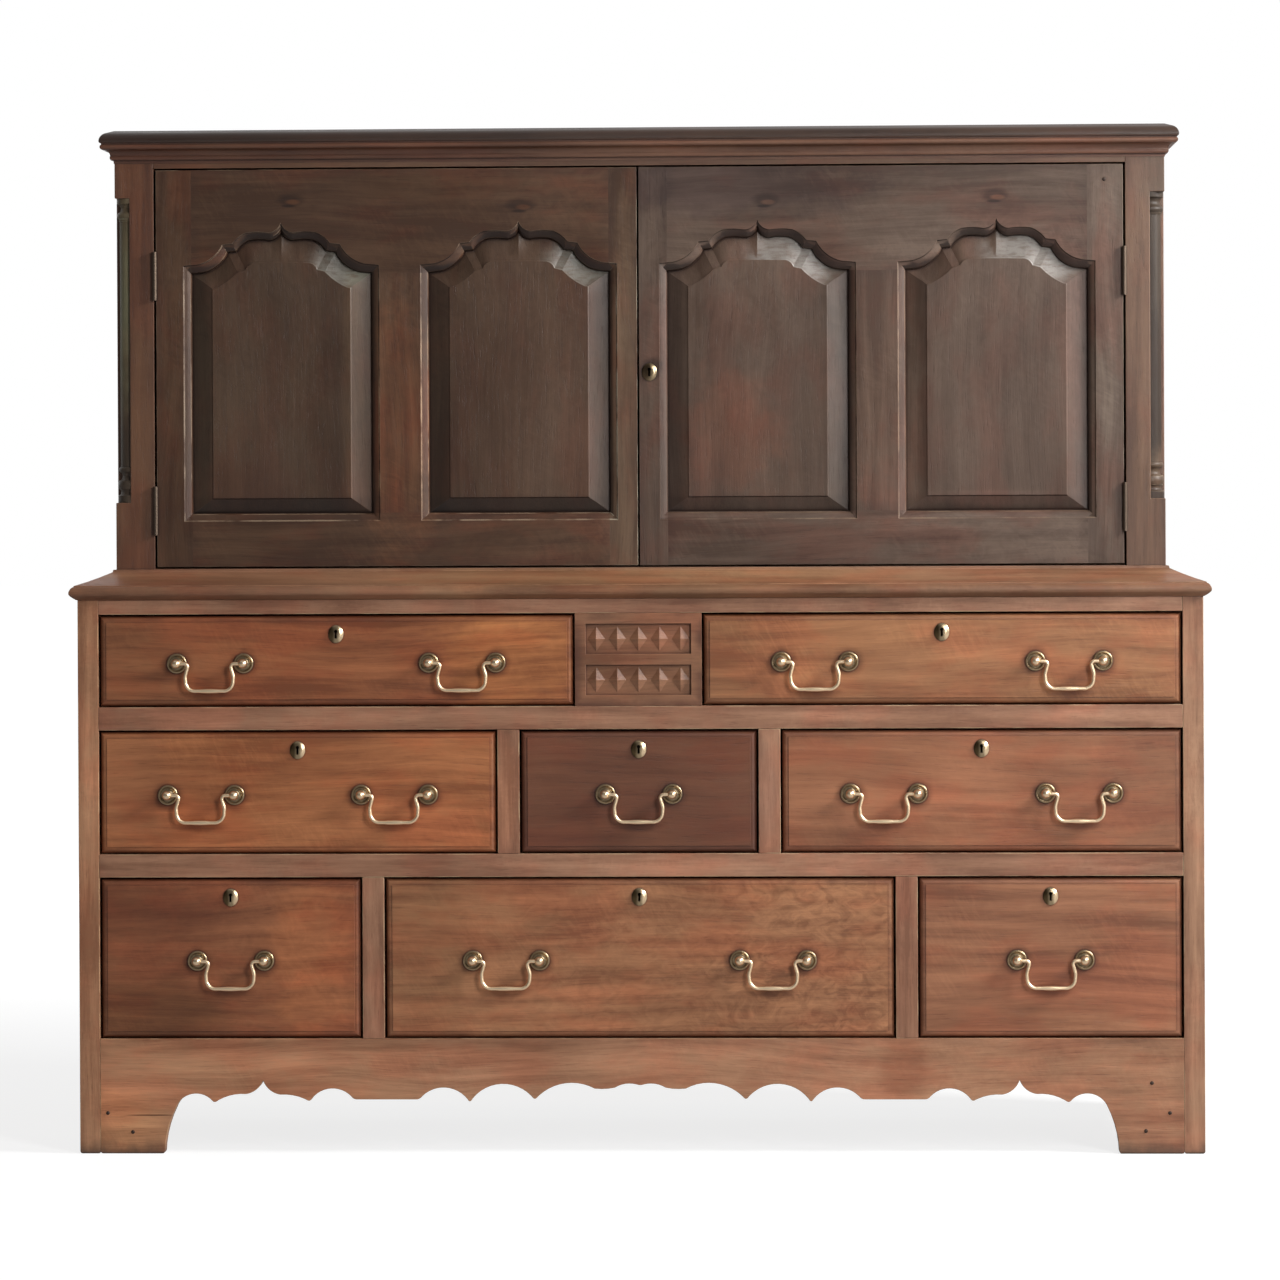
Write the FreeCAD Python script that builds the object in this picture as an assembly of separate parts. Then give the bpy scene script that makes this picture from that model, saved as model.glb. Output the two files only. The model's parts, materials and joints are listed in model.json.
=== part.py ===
import FreeCAD, Part
import math
import os

os.makedirs("parts", exist_ok=True)
Vector = FreeCAD.Vector

# Lower stage: a boarded chest of drawers, X to the right, Y into the depth, Z up from the floor
case_width = 1686.0
case_depth = 560.0
side_thickness = 31.0
side_foot_length = 130.0
side_arch_height = 92.0
side_arch_radius = 60.0

# Drawer openings from the apron upwards, and the rails and muntins that frame them
apron_height = 173.0
apron_thickness = 24.0
bottom_opening = 242.0
middle_opening = 186.0
top_opening = 139.0
rail_height = 35.0
top_rail_height = 22.0
rail_depth = 70.0
bottom_rail_height = 34.0
muntin_width = 33.0
muntin_depth = 46.0
middle_centre_opening = 358.0
bottom_centre_opening = 766.0

# Tablet between the two top drawers: two sunk panels with a row of carved lozenges in each
tablet_width = 190.0
tablet_thickness = 30.0
tablet_margin = 16.0
tablet_sinking = 5.0
tablet_bar = 16.0
lozenge_count = 5
lozenge_rise = 4.4
lozenge_size_share = 0.84

# Drawers
front_gap = 2.5
front_lift = 1.5
front_thickness = 24.0
front_edge_radius = 8.0
field_margin = 9.5
field_rise = 1.2
drawer_back_room = 16.0
drawer_side = 12.0
drawer_lap = 14.0
drawer_float = 0.4
drawer_side_drop = 7.0
drawer_back_drop = 8.0
drawer_bottom_lift = 8.0
drawer_bottom_thickness = 9.0
runner_bearing = 24.0
runner_height = 22.0
guide_height = 20.0
stop_width = 34.0
stop_depth = 12.0
stop_height = 6.0
stop_clearance = 0.4
stop_place_share = 0.3

# Swan-neck handles: a pair of turned posts on rosettes, with a bail hung between them
handle_span = 100.5
handle_drop = 4.0
top_handle_spacing = 379.0
middle_handle_spacing = 291.0
bottom_handle_spacing = 400.0
rosette_radius = 15.0
rosette_rim = 1.2
rosette_bead = 3.4
rosette_hollow_radius = 11.0
rosette_height = 4.2
post_reach = 13.5
post_neck_radius = 4.0
post_ball_radius = 7.0
shank_radius = 3.0
shank_tail = 7.0
nut_width = 12.0
nut_thickness = 5.0
bail_radius = 2.7
bail_neck_inset = 19.3
bail_bulge_inset = 13.9
bail_bulge_drop = 19.0
bail_foot_inset = 15.7
bail_length = 41.0
bail_neck_bend = 5.0
bail_bulge_bend = 16.0
bail_foot_bend = 14.0
grip_length = 34.0
grip_radius = 3.4
grip_end_share = 0.9
bail_pin_depth = 6.0
pin_clearance = 0.05

# Keyhole plates and locks
escutcheon_width = 23.0
escutcheon_height = 27.0
escutcheon_dome = 4.0
keyhole_drop = 30.0
keyhole_radius = 2.6
keyhole_slot = 3.2
keyhole_length = 13.0
lock_width = 64.0
lock_height = 46.0
lock_thickness = 10.0
lock_top_share = 0.42

# Waist: the moulded top board of the lower stage and the moulding that holds the upper stage
waist_board_thickness = 20.0
waist_nose = 12.0
waist_moulding_height = 25.0

# Upper stage: a shallower cupboard with a pair of doors
upper_inset = 52.0
upper_stile_width = 59.0
upper_stile_depth = 60.0
upper_side_thickness = 22.0
sill_height = 26.0
door_opening_height = 604.5
upper_rail_depth = 27.0
upper_board_thickness = 18.0
shelf_rise = 300.0
bearer_width = 22.0
bearer_height = 26.0
back_thickness = 14.0
back_board_count = 6
back_floor_gap = 100.0

# Quarter columns let into the front corners of the upper stage
column_rebate = 22.0
column_radius = 17.5
column_ring_radius = 21.5
column_neck_radius = 15.0
column_plinth_height = 126.0
column_head_height = 98.0
column_base_turning = 54.0
column_cap_turning = 34.0

# Cornice
cornice_reveal = 8.0
cornice_height = 49.5
cornice_projection = 21.0
cornice_lip = 4.0

# Doors
door_thickness = 26.0
door_gap = 3.2
door_clearance = 2.5
meeting_gap = 3.0
meeting_stile_width = 30.5
hinge_stile_width = 41.8
door_muntin_width = 63.0
door_rail_height = 69.0
arch_crown_drop = 81.0
arch_rise = 64.0
ovolo_width = 12.0
ovolo_depth = 10.0
panel_tongue = 6.0
panel_tongue_front = 12.0
panel_tongue_thickness = 6.0
panel_bevel = 30.0
panel_foot_bevel = 21.0
panel_bevel_rise = 8.5
panel_step = 1.3
panel_step_run = 1.6
field_head_drop = 21.0
field_head_rise = 39.0

# Butt hinges
hinge_length = 70.0
hinge_top_drop = 160.0
hinge_bottom_rise = 85.0
leaf_thickness = 1.4
leaf_width = 22.0
knuckle_radius = 3.5
knuckle_count = 5
knuckle_clearance = 0.3
hinge_pin_radius = 1.7
hinge_pin_head = 1.6

# Lock of the right door and its sliding bolt
door_lock_rise = 291.0
door_lock_width = 48.0
door_lock_height = 72.0
door_lock_thickness = 13.0
bolt_height = 12.0
bolt_thickness = 6.0
bolt_length = 32.0
bolt_clearance = 0.3

overrun = 5.0
quarter_turn = 90.0
full_turn = 360.0

# Shapes as shares of the sizes that they follow

# Lower edge of the apron from the centre to the foot: shares of half its length and of its height
apron_shares = [
    (0.0, 0.59),
    [(0.025, 0.607), (0.047, 0.572)],
    [(0.065, 0.561), (0.084, 0.564)],
    [(0.139, 0.61), (0.195, 0.465)],
    [(0.255, 0.605), (0.315, 0.442)],
    [(0.357, 0.572), (0.408, 0.471)],
    [(0.53, 0.471)],
    [(0.569, 0.566), (0.611, 0.451)],
    [(0.634, 0.497), (0.666, 0.512)],
    [(0.685, 0.55), (0.698, 0.636)],
    [(0.712, 0.55), (0.73, 0.517)],
    [(0.761, 0.503), (0.789, 0.439)],
    [(0.828, 0.52), (0.86, 0.399)],
    [(0.873, 0.243), (0.881, 0.0)],
    [(1.0, 0.0)],
    [(1.0, 1.0)],
]

# Head of a door panel from its spike to its shoulder: shares of half its width and of its rise
arch_shares = [
    (0.0, 1.0),
    [(0.045, 0.85), (0.125, 0.775)],
    [(0.24, 0.8), (0.355, 0.78)],
    [(0.44, 0.67), (0.5, 0.525)],
    [(0.6, 0.5)],
    [(0.7, 0.205), (0.86, 0.03)],
    [(1.0, 0.0)],
]

# Head of the raised field inside it, with as many steps: shares of half the field's width and of its rise
field_shares = [
    (0.0, 1.0),
    [(0.14, 1.0)],
    [(0.4, 0.985)],
    [(0.475, 0.9), (0.52, 0.72)],
    [(0.63, 0.65)],
    [(0.79, 0.28), (0.96, 0.02)],
    [(1.0, 0.0)],
]

# Rounded moulding round a panel opening: shares of its width and depth, from the face inwards
ovolo_shares = [(0.0, 0.0), (0.06, 0.14), (0.5, 0.26), (0.86, 0.57), (1.0, 1.0)]

# Domed keyhole plate: shares of its breadth and of its height off the wood
dome_shares = [(1.0, 0.0), (0.97, 0.35), (0.82, 0.7), (0.55, 0.93), (0.25, 1.0)]

# Nose of the waist board: shares of its projection and of its thickness
waist_nose_shares = [
    (0.1, 0.0),
    [(0.54, 0.17), (0.94, 0.38)],
    [(1.0, 0.55), (0.88, 0.76)],
    [(0.72, 0.91), (0.5, 1.0)],
]

# Waist moulding from its outer foot to the upper stage: shares of the inset and of its height
waist_moulding_shares = [
    (0.1, 0.0),
    [(0.1, 0.06)],
    [(-0.42, 0.43), (-0.91, 0.86)],
    [(-0.91, 1.0)],
    [(-1.0, 1.0)],
    [(-1.0, 0.0)],
]

# Cornice from its foot upwards: shares of its projection and of its height
cornice_shares = [
    (0.0, 0.0),
    [(0.04, 0.0)],
    [(0.04, 0.1)],
    [(0.22, 0.1)],
    [(0.29, 0.16), (0.26, 0.235)],
    [(0.38, 0.35), (0.7, 0.41)],
    [(0.76, 0.41)],
    [(0.93, 0.485), (0.84, 0.565)],
    [(0.84, 0.61)],
    [(0.96, 0.62)],
    [(1.0, 0.66)],
    [(0.86, 0.83), (0.5, 0.93)],
    [(0.0, 1.0)],
]

# Turnings of a quarter column: shares of the step from neck to ring, and of the turned length
base_turning_shares = [
    (1.0, 0.0),
    [(1.0, 0.2)],
    [(0.35, 0.29), (0.75, 0.38)],
    [(1.0, 0.5), (0.75, 0.62)],
    [(0.0, 0.74), (0.55, 0.86)],
    [(0.8, 0.92), (0.55, 1.0)],
]
cap_turning_shares = [
    (1.0, 0.0),
    [(1.0, 0.22)],
    [(0.1, 0.42), (0.6, 0.62)],
    [(0.95, 0.76), (0.6, 0.9)],
    [(0.5, 1.0)],
]

# Places worked out from the sizes above
handle_reach = post_reach + post_ball_radius
front_y = (handle_reach - case_depth) / 2
back_y = front_y + case_depth
back_face_y = back_y - back_thickness
case_half = case_width / 2
half_opening = case_half - side_thickness
bottom_low = apron_height
bottom_high = bottom_low + bottom_opening
middle_low = bottom_high + rail_height
middle_high = middle_low + middle_opening
top_low = middle_high + rail_height
top_high = top_low + top_opening
case_height = top_high + top_rail_height
middle_half = middle_centre_opening / 2
bottom_half = bottom_centre_opening / 2

upper_half = case_half - upper_inset
upper_front = front_y + upper_inset
upper_low = case_height + waist_board_thickness
upper_inner = upper_half - upper_side_thickness
door_half_opening = upper_half - upper_stile_width
sill_top = upper_low + sill_height
door_head = sill_top + door_opening_height
cornice_low = door_head + cornice_reveal
press_height = cornice_low + cornice_height
upper_top = press_height - cornice_lip
floor_top = sill_top + upper_board_thickness
shelf_low = floor_top + shelf_rise
top_board_low = upper_top - upper_board_thickness

door_low = sill_top + door_clearance
door_top = door_head - door_clearance
door_left = meeting_gap / 2
door_right = door_half_opening - door_gap
panel_opening = (door_right - door_left - meeting_stile_width - door_muntin_width - hinge_stile_width) / 2
panel_half = panel_opening / 2
panel_low = door_low + door_rail_height
arch_spring = door_top - arch_crown_drop - arch_rise
first_panel_x = door_left + meeting_stile_width + panel_half
second_panel_x = first_panel_x + panel_opening + door_muntin_width
hinge_x = door_half_opening - door_gap / 2
hinge_y = upper_front - knuckle_radius - knuckle_clearance
hinge_heights = [door_low + hinge_bottom_rise, door_top - hinge_top_drop]
door_keyhole_x = door_left + meeting_stile_width / 2
door_keyhole_z = door_low + door_lock_rise

# Each drawer: its opening across and upwards, and the spacing of its handles, zero for a single one
drawers = {
    "top_left": (-half_opening, -tablet_width / 2, top_low, top_high, top_handle_spacing),
    "top_right": (tablet_width / 2, half_opening, top_low, top_high, top_handle_spacing),
    "middle_left": (-half_opening, -middle_half - muntin_width, middle_low, middle_high, middle_handle_spacing),
    "middle_centre": (-middle_half, middle_half, middle_low, middle_high, 0),
    "middle_right": (middle_half + muntin_width, half_opening, middle_low, middle_high, middle_handle_spacing),
    "bottom_left": (-half_opening, -bottom_half - muntin_width, bottom_low, bottom_high, 0),
    "bottom_centre": (-bottom_half, bottom_half, bottom_low, bottom_high, bottom_handle_spacing),
    "bottom_right": (bottom_half + muntin_width, half_opening, bottom_low, bottom_high, 0),
}


def box(x0, x1, y0, y1, z0, z1):
    """A square-edged board between two corners."""
    return Part.makeBox(x1 - x0, y1 - y0, z1 - z0, Vector(x0, y0, z0))


def mirrored(shape):
    """The same piece on the other side of the centre line."""
    return shape.mirror(Vector(0, 0, 0), Vector(1, 0, 0))


def joined(shapes):
    """One solid from shapes that meet."""
    return shapes[0].multiFuse(shapes[1:]).removeSplitter()


def scaled(shares, across, up):
    """A path of shares at real size: across and up turn each share into a place."""
    path = [(across(shares[0][0]), up(shares[0][1]))]
    for step in shares[1:]:
        path.append([(across(u), up(v)) for u, v in step])
    return path


def both_sides(half):
    """A path that starts on the centre line, run on both sides of it."""
    ends = [half[0]] + [step[-1] for step in half[1:]]
    path = [(-ends[-1][0], ends[-1][1])]
    for step, start in zip(reversed(half[1:]), reversed(ends[:-1])):
        path.append([(-u, v) for u, v in step[:-1]] + [(-start[0], start[1])])
    return path + half[1:]


def outline(path, place):
    """A closed wire: a step of one point is straight, and a step of two is an arc through the first."""
    edges = []
    start = path[0]
    for step in path[1:]:
        points = [place(*start)] + [place(*point) for point in step]
        if len(step) == 1:
            edges.append(Part.LineSegment(*points).toShape())
        else:
            edges.append(Part.Arc(*points).toShape())
        start = step[-1]
    if place(*start).distanceToPoint(place(*path[0])) > 0:
        edges.append(Part.LineSegment(place(*start), place(*path[0])).toShape())
    return Part.Wire(edges)


def slab(path, place, thickness):
    """A solid with the given outline, as thick as the vector says."""
    return Part.Face(outline(path, place)).extrude(thickness)


def plan_prism(corners, low, high):
    """An upright prism over corners on the floor plan."""
    points = [Vector(x, y, low) for x, y in corners]
    return Part.Face(Part.makePolygon(points + points[:1])).extrude(Vector(0, 0, high - low))


def moulding_strips(profile, half_width, front, inner, reach):
    """A moulding mitred at the front corners and returned along both sides to the back."""
    low = min(step[-1][1] for step in profile[1:])
    high = max(step[-1][1] for step in profile[1:])
    span = half_width + reach
    run = Vector(2 * span, 0, 0)
    front_bar = slab(profile, lambda p, z: Vector(-span, front - p, z), run)
    front_plan = [(-span, front - reach), (span, front - reach)]
    front_plan += [(half_width - inner, front + inner), (inner - half_width, front + inner)]
    side_run = Vector(0, back_y - front + reach, 0)
    side_bar = slab(profile, lambda p, z: Vector(half_width + p, front - reach, z), side_run)
    side_plan = [(span, front - reach), (span, back_y)]
    side_plan += [(half_width - inner, back_y), (half_width - inner, front + inner)]
    front_strip = front_bar.common(plan_prism(front_plan, low, high))
    side_strip = side_bar.common(plan_prism(side_plan, low, high))
    return [front_strip, side_strip, mirrored(side_strip)]


def turned(path, axis_point, axis, place, angle):
    """A turning: the outline of half its section, spun about its axis."""
    return Part.Face(outline(path, place)).revolve(axis_point, axis, angle)


def bent_path(points, bends):
    """Straight runs through points, with each corner rounded to its bend."""
    edges = []
    start = points[0]
    for before, corner, after, bend in zip(points, points[1:], points[2:], bends):
        arrive = (corner - before).normalize()
        leave = (after - corner).normalize()
        half_turn = arrive.getAngle(leave) / 2
        tangent = bend * math.tan(half_turn)
        inward = (leave - arrive).normalize()
        entry = corner - arrive * tangent
        middle = corner + inward * (bend / math.cos(half_turn) - bend)
        leaving = corner + leave * tangent
        edges.append(Part.LineSegment(start, entry).toShape())
        edges.append(Part.Arc(entry, middle, leaving).toShape())
        start = leaving
    edges.append(Part.LineSegment(start, points[-1]).toShape())
    return Part.Wire(edges)


def keyhole(x, z, front, back):
    """The round eye of a keyhole with its slot below, bored from front to back."""
    depth = Vector(0, back - front, 0)
    eye_z = z + keyhole_length / 2 - keyhole_radius
    eye = Part.makeCylinder(keyhole_radius, back - front, Vector(x, front, eye_z), depth)
    slot_low = z - keyhole_length / 2
    slot = box(x - keyhole_slot / 2, x + keyhole_slot / 2, front, back, slot_low, eye_z)
    return eye.fuse(slot)


def escutcheon(x, z, face):
    """A domed oval keyhole plate on a face that looks forwards."""
    rings = []
    for breadth, height in dome_shares:
        oval = Part.Ellipse(
            Vector(x, face - escutcheon_dome * height, z + escutcheon_height / 2 * breadth),
            Vector(x + escutcheon_width / 2 * breadth, face - escutcheon_dome * height, z),
            Vector(x, face - escutcheon_dome * height, z))
        rings.append(Part.Wire(oval.toShape()))
    dome = Part.makeLoft(rings, True, True)
    return dome.cut(keyhole(x, z, face - escutcheon_dome - overrun, face + overrun))


def lower_sides():
    """Two boards that run from the waist to the floor, cut away below into front and back feet."""
    board = box(half_opening, case_half, front_y, back_y, 0, case_height)
    arch_front = front_y + side_foot_length
    arch_back = back_y - side_foot_length
    gap = box(half_opening - overrun, case_half + overrun, arch_front, arch_back, -overrun, side_arch_height)
    top_edges = [edge for edge in gap.Edges
                 if edge.BoundBox.XLength > side_thickness and edge.BoundBox.ZMin > 0]
    right = board.cut(gap.makeFillet(side_arch_radius, top_edges))
    return [right, mirrored(right)]


def lower_rails():
    """The top rail, the two rails between the rows, and the rail behind the apron."""
    rails = []
    for low, high in [(top_high, case_height), (middle_high, top_low), (bottom_high, middle_low)]:
        rails.append(box(-half_opening, half_opening, front_y, front_y + rail_depth, low, high))
    apron_back = front_y + apron_thickness
    low = bottom_low - bottom_rail_height
    rails.append(box(-half_opening, half_opening, apron_back, front_y + rail_depth, low, bottom_low))
    return rails


def lower_muntins():
    """Uprights between the drawers of the middle and bottom rows."""
    muntins = []
    for inner, low, high in [(middle_half, middle_low, middle_high), (bottom_half, bottom_low, bottom_high)]:
        right = box(inner, inner + muntin_width, front_y, front_y + muntin_depth, low, high)
        muntins += [right, mirrored(right)]
    return muntins


def lozenge(x, z, half_width, half_height, base_y, rise):
    """A four-sided carved point."""
    ring = [Vector(x - half_width, base_y, z), Vector(x, base_y, z - half_height)]
    ring += [Vector(x + half_width, base_y, z), Vector(x, base_y, z + half_height)]
    tip = Vector(x, base_y - rise, z)
    faces = [Part.Face(Part.makePolygon(ring + ring[:1]))]
    for a, b in zip(ring, ring[1:] + ring[:1]):
        faces.append(Part.Face(Part.makePolygon([a, b, tip, a])))
    return Part.Solid(Part.Shell(faces))


def tablet_board():
    """The board between the top drawers, with two sunk panels of carved lozenges."""
    board = box(-tablet_width / 2, tablet_width / 2, front_y, front_y + tablet_thickness, top_low, top_high)
    half_panel = tablet_width / 2 - tablet_margin
    panel_height = (top_opening - 2 * tablet_margin - tablet_bar) / 2
    base_y = front_y + tablet_sinking
    pitch = 2 * half_panel / lozenge_count
    points = []
    for low in [top_low + tablet_margin, top_high - tablet_margin - panel_height]:
        panel = box(-half_panel, half_panel, front_y - overrun, base_y, low, low + panel_height)
        board = board.cut(panel)
        for index in range(lozenge_count):
            x = -half_panel + pitch / 2 + pitch * index
            half_sizes = [lozenge_size_share * pitch / 2, lozenge_size_share * panel_height / 2]
            points.append(lozenge(x, low + panel_height / 2, *half_sizes, base_y, lozenge_rise))
    return [joined([board] + points)]


def apron():
    """The shaped board under the bottom drawers, which comes down at each end as a bracket foot."""
    half = scaled(apron_shares, lambda u: u * half_opening, lambda v: v * apron_height)
    return [slab(both_sides(half), lambda x, z: Vector(x, front_y, z), Vector(0, apron_thickness, 0))]


def drawer_runners():
    """For each drawer: a runner and a guide at each side, and two stops behind its front."""
    pieces = []
    runner_front = front_y + rail_depth
    for x0, x1, z0, z1, spacing in drawers.values():
        for edge, inward in [(x0, 1), (x1, -1)]:
            outer = edge - inward * muntin_width / 2
            if abs(edge) == half_opening:
                outer = edge
            else:
                across = sorted([outer, edge])
                pieces.append(box(*across, front_y + muntin_depth, back_face_y, z0, z0 + guide_height))
            across = sorted([outer, edge + inward * runner_bearing])
            pieces.append(box(*across, runner_front, back_face_y, z0 - runner_height, z0))
        stop_y = front_y + front_thickness + stop_clearance
        for share in [-stop_place_share, stop_place_share]:
            x = (x0 + x1) / 2 + share * (x1 - x0)
            across = [x - stop_width / 2, x + stop_width / 2]
            pieces.append(box(*across, stop_y, stop_y + stop_depth, z0, z0 + stop_height))
    return pieces


def back_boards():
    """Upright boards that close the backs of both stages."""
    boards = []
    for half, low, high in [(half_opening, back_floor_gap, case_height), (upper_inner, upper_low, upper_top)]:
        width = 2 * half / back_board_count
        for index in range(back_board_count):
            left = -half + index * width
            boards.append(box(left, left + width, back_face_y, back_y, low, high))
    return boards


def waist():
    """The moulded top board of the lower stage, and the mitred moulding round the upper stage's foot."""
    nose = scaled(waist_nose_shares, lambda u: u * waist_nose, lambda v: case_height + v * waist_board_thickness)
    span = case_half + 2 * waist_nose
    front_path = [(-case_depth, case_height), [nose[0]]] + nose[1:] + [[(-case_depth, upper_low)]]
    front_bar = slab(front_path, lambda p, z: Vector(-span, front_y - p, z), Vector(2 * span, 0, 0))
    half_path = [(0, case_height), [(case_half + nose[0][0], nose[0][1])]]
    half_path += [[(case_half + p, z) for p, z in step] for step in nose[1:]]
    half_path += [[(0, upper_low)]]
    start_y = front_y - 2 * waist_nose
    end_bar = slab(both_sides(half_path), lambda x, z: Vector(x, start_y, z), Vector(0, back_y - start_y, 0))
    profile = scaled(
        waist_moulding_shares, lambda u: u * upper_inset, lambda v: upper_low + v * waist_moulding_height)
    return [front_bar.common(end_bar)] + moulding_strips(profile, case_half, front_y, upper_inset, waist_nose)


def upper_stiles():
    """Front posts of the upper stage, rebated on the outer corner for the quarter columns."""
    post_back = upper_front + upper_stile_depth
    post = box(door_half_opening, upper_half, upper_front, post_back, upper_low, upper_top)
    low = upper_low + column_plinth_height
    high = upper_top - column_head_height
    corner_x = upper_half - column_rebate
    corner_y = upper_front + column_rebate
    rebate = box(corner_x, upper_half + overrun, upper_front - overrun, corner_y, low, high)
    right = post.cut(rebate)
    return [right, mirrored(right)]


def quarter_columns():
    """Turned columns, a quarter of the round each, standing in the rebates of the front posts."""
    low = upper_low + column_plinth_height
    high = upper_top - column_head_height
    step = column_ring_radius - column_neck_radius
    base = scaled(
        base_turning_shares, lambda u: column_neck_radius + u * step, lambda v: low + v * column_base_turning)
    cap = scaled(
        cap_turning_shares, lambda u: column_neck_radius + u * step, lambda v: high - v * column_cap_turning)
    path = [(0, low), [base[0]]] + base[1:]
    path += [[(column_radius, base[-1][-1][1])], [(column_radius, cap[-1][-1][1])], [cap[-1][-1]]]
    ends = [cap[0]] + [step_points[-1] for step_points in cap[1:]]
    for step_points, end in zip(reversed(cap[1:]), reversed(ends[:-1])):
        path.append(step_points[:-1] + [end])
    path.append([(0, high)])
    corner = Vector(upper_half - column_rebate, upper_front + column_rebate, 0)
    right = turned(
        path, corner, Vector(0, 0, -1), lambda r, z: Vector(corner.x + r, corner.y, z), quarter_turn)
    return [right, mirrored(right)]


def upper_sides():
    """The plain side boards of the upper stage, behind the front posts."""
    board_front = upper_front + upper_stile_depth
    right = box(upper_inner, upper_half, board_front, back_y, upper_low, upper_top)
    return [right, mirrored(right)]


def upper_rails():
    """The sill under the doors and the head rail above them."""
    rail_back = upper_front + upper_rail_depth
    sill = box(-door_half_opening, door_half_opening, upper_front, rail_back, upper_low, sill_top)
    head = box(-door_half_opening, door_half_opening, upper_front, rail_back, door_head, upper_top)
    return [sill, head]


def upper_boards():
    """The floor, the shelf on its two bearers, and the top board of the upper stage."""
    post_back = upper_front + upper_stile_depth
    floor_front = upper_front + upper_rail_depth
    corners = [(-door_half_opening, floor_front), (door_half_opening, floor_front)]
    corners += [(door_half_opening, post_back), (upper_inner, post_back), (upper_inner, back_face_y)]
    corners += [(-upper_inner, back_face_y), (-upper_inner, post_back), (-door_half_opening, post_back)]
    pieces = [plan_prism(corners, sill_top, floor_top)]
    shelf_top = shelf_low + upper_board_thickness
    pieces.append(box(-upper_inner, upper_inner, post_back, back_face_y, shelf_low, shelf_top))
    bearer_low = shelf_low - bearer_height
    bearer = box(upper_inner - bearer_width, upper_inner, post_back, back_face_y, bearer_low, shelf_low)
    pieces += [bearer, mirrored(bearer)]
    pieces.append(plan_prism(corners, top_board_low, upper_top))
    return pieces


def cornice():
    """The moulded cornice, mitred at the front corners."""
    profile = scaled(
        cornice_shares, lambda u: u * cornice_projection, lambda v: cornice_low + v * cornice_height)
    return moulding_strips(profile, upper_half, upper_front, 0, cornice_projection)


def arched_wire(centre_x, head, foot, depth):
    """A wire with a shaped head and straight sides down to its foot, behind the door's face."""
    path = both_sides(head + [[(head[-1][-1][0], foot)]])
    return outline(path, lambda u, z: Vector(centre_x + u, upper_front + depth, z))


def panel_wire(centre_x, inset, depth):
    """The outline of a panel's opening, drawn in by an inset on every side."""
    half = panel_half - inset
    head = scaled(arch_shares, lambda u: u * half, lambda v: arch_spring - inset + v * arch_rise)
    return arched_wire(centre_x, head, panel_low + inset, depth)


def field_wire(centre_x, inset, depth):
    """The outline of a panel's raised field, drawn in by an inset from the upper edge of its bevel."""
    half = panel_half - ovolo_width - panel_bevel - inset
    shoulder = arch_spring - ovolo_width - field_head_drop - inset
    head = scaled(field_shares, lambda u: u * half, lambda v: shoulder + v * field_head_rise)
    return arched_wire(centre_x, head, panel_low + ovolo_width + panel_foot_bevel + inset, depth)


def panel_prism(centre_x, inset, front_depth, back_depth):
    """The outline of a panel's opening as a plate between two depths."""
    plate = Part.Face(panel_wire(centre_x, inset, front_depth))
    return plate.extrude(Vector(0, back_depth - front_depth, 0))


def door_frame():
    """The right door's stiles, muntin and rails, moulded round two openings and grooved for the panels."""
    plate = box(door_left, door_right, upper_front, upper_front + door_thickness, door_low, door_top)
    groove_back = panel_tongue_front + panel_tongue_thickness
    cuts = []
    for x in [first_panel_x, second_panel_x]:
        rings = [panel_wire(x, u * ovolo_width, v * ovolo_depth) for u, v in ovolo_shares]
        cuts.append(Part.makeLoft(rings, True, True))
        cuts.append(panel_prism(x, ovolo_width, ovolo_depth, door_thickness))
        cuts.append(panel_prism(x, ovolo_width - panel_tongue, panel_tongue_front, groove_back))
    for cut in cuts:
        plate = plate.cut(cut)
    sight = panel_half - ovolo_width
    sight_low = panel_low + ovolo_width
    sight_spring = arch_spring - ovolo_width
    bounds = [
        (door_left, first_panel_x - sight, door_low, door_top),
        (second_panel_x + sight, door_right, door_low, door_top),
        (first_panel_x - sight, second_panel_x + sight, door_low, sight_low),
        (first_panel_x - sight, second_panel_x + sight, sight_spring, door_top),
        (first_panel_x + sight, second_panel_x - sight, sight_low, sight_spring),
    ]
    members = []
    for x0, x1, z0, z1 in bounds:
        members += plate.common(box(x0, x1, upper_front, upper_front + door_thickness, z0, z1)).Solids
    return members


def door_panels():
    """The right door's two fielded panels: a thin tongue, a wide bevel and a raised field."""
    panels = []
    back_depth = panel_tongue_front + panel_tongue_thickness
    bevel_depth = panel_tongue_front - panel_bevel_rise
    for x in [first_panel_x, second_panel_x]:
        tongue = panel_prism(x, ovolo_width - panel_tongue, panel_tongue_front, back_depth)
        rings = [
            panel_wire(x, ovolo_width, panel_tongue_front),
            field_wire(x, 0, bevel_depth),
            field_wire(x, panel_step_run, bevel_depth - panel_step),
        ]
        panels.append(joined([tongue, Part.makeLoft(rings, True, True)]))
    return panels


def knuckle_spans(height):
    """The lower and upper end of each knuckle of a hinge centred at a height."""
    pitch = hinge_length / knuckle_count
    low = height - hinge_length / 2
    spans = [(low + index * pitch, low + (index + 1) * pitch) for index in range(knuckle_count)]
    return [(bottom + knuckle_clearance / 2, top - knuckle_clearance / 2) for bottom, top in spans]


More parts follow.
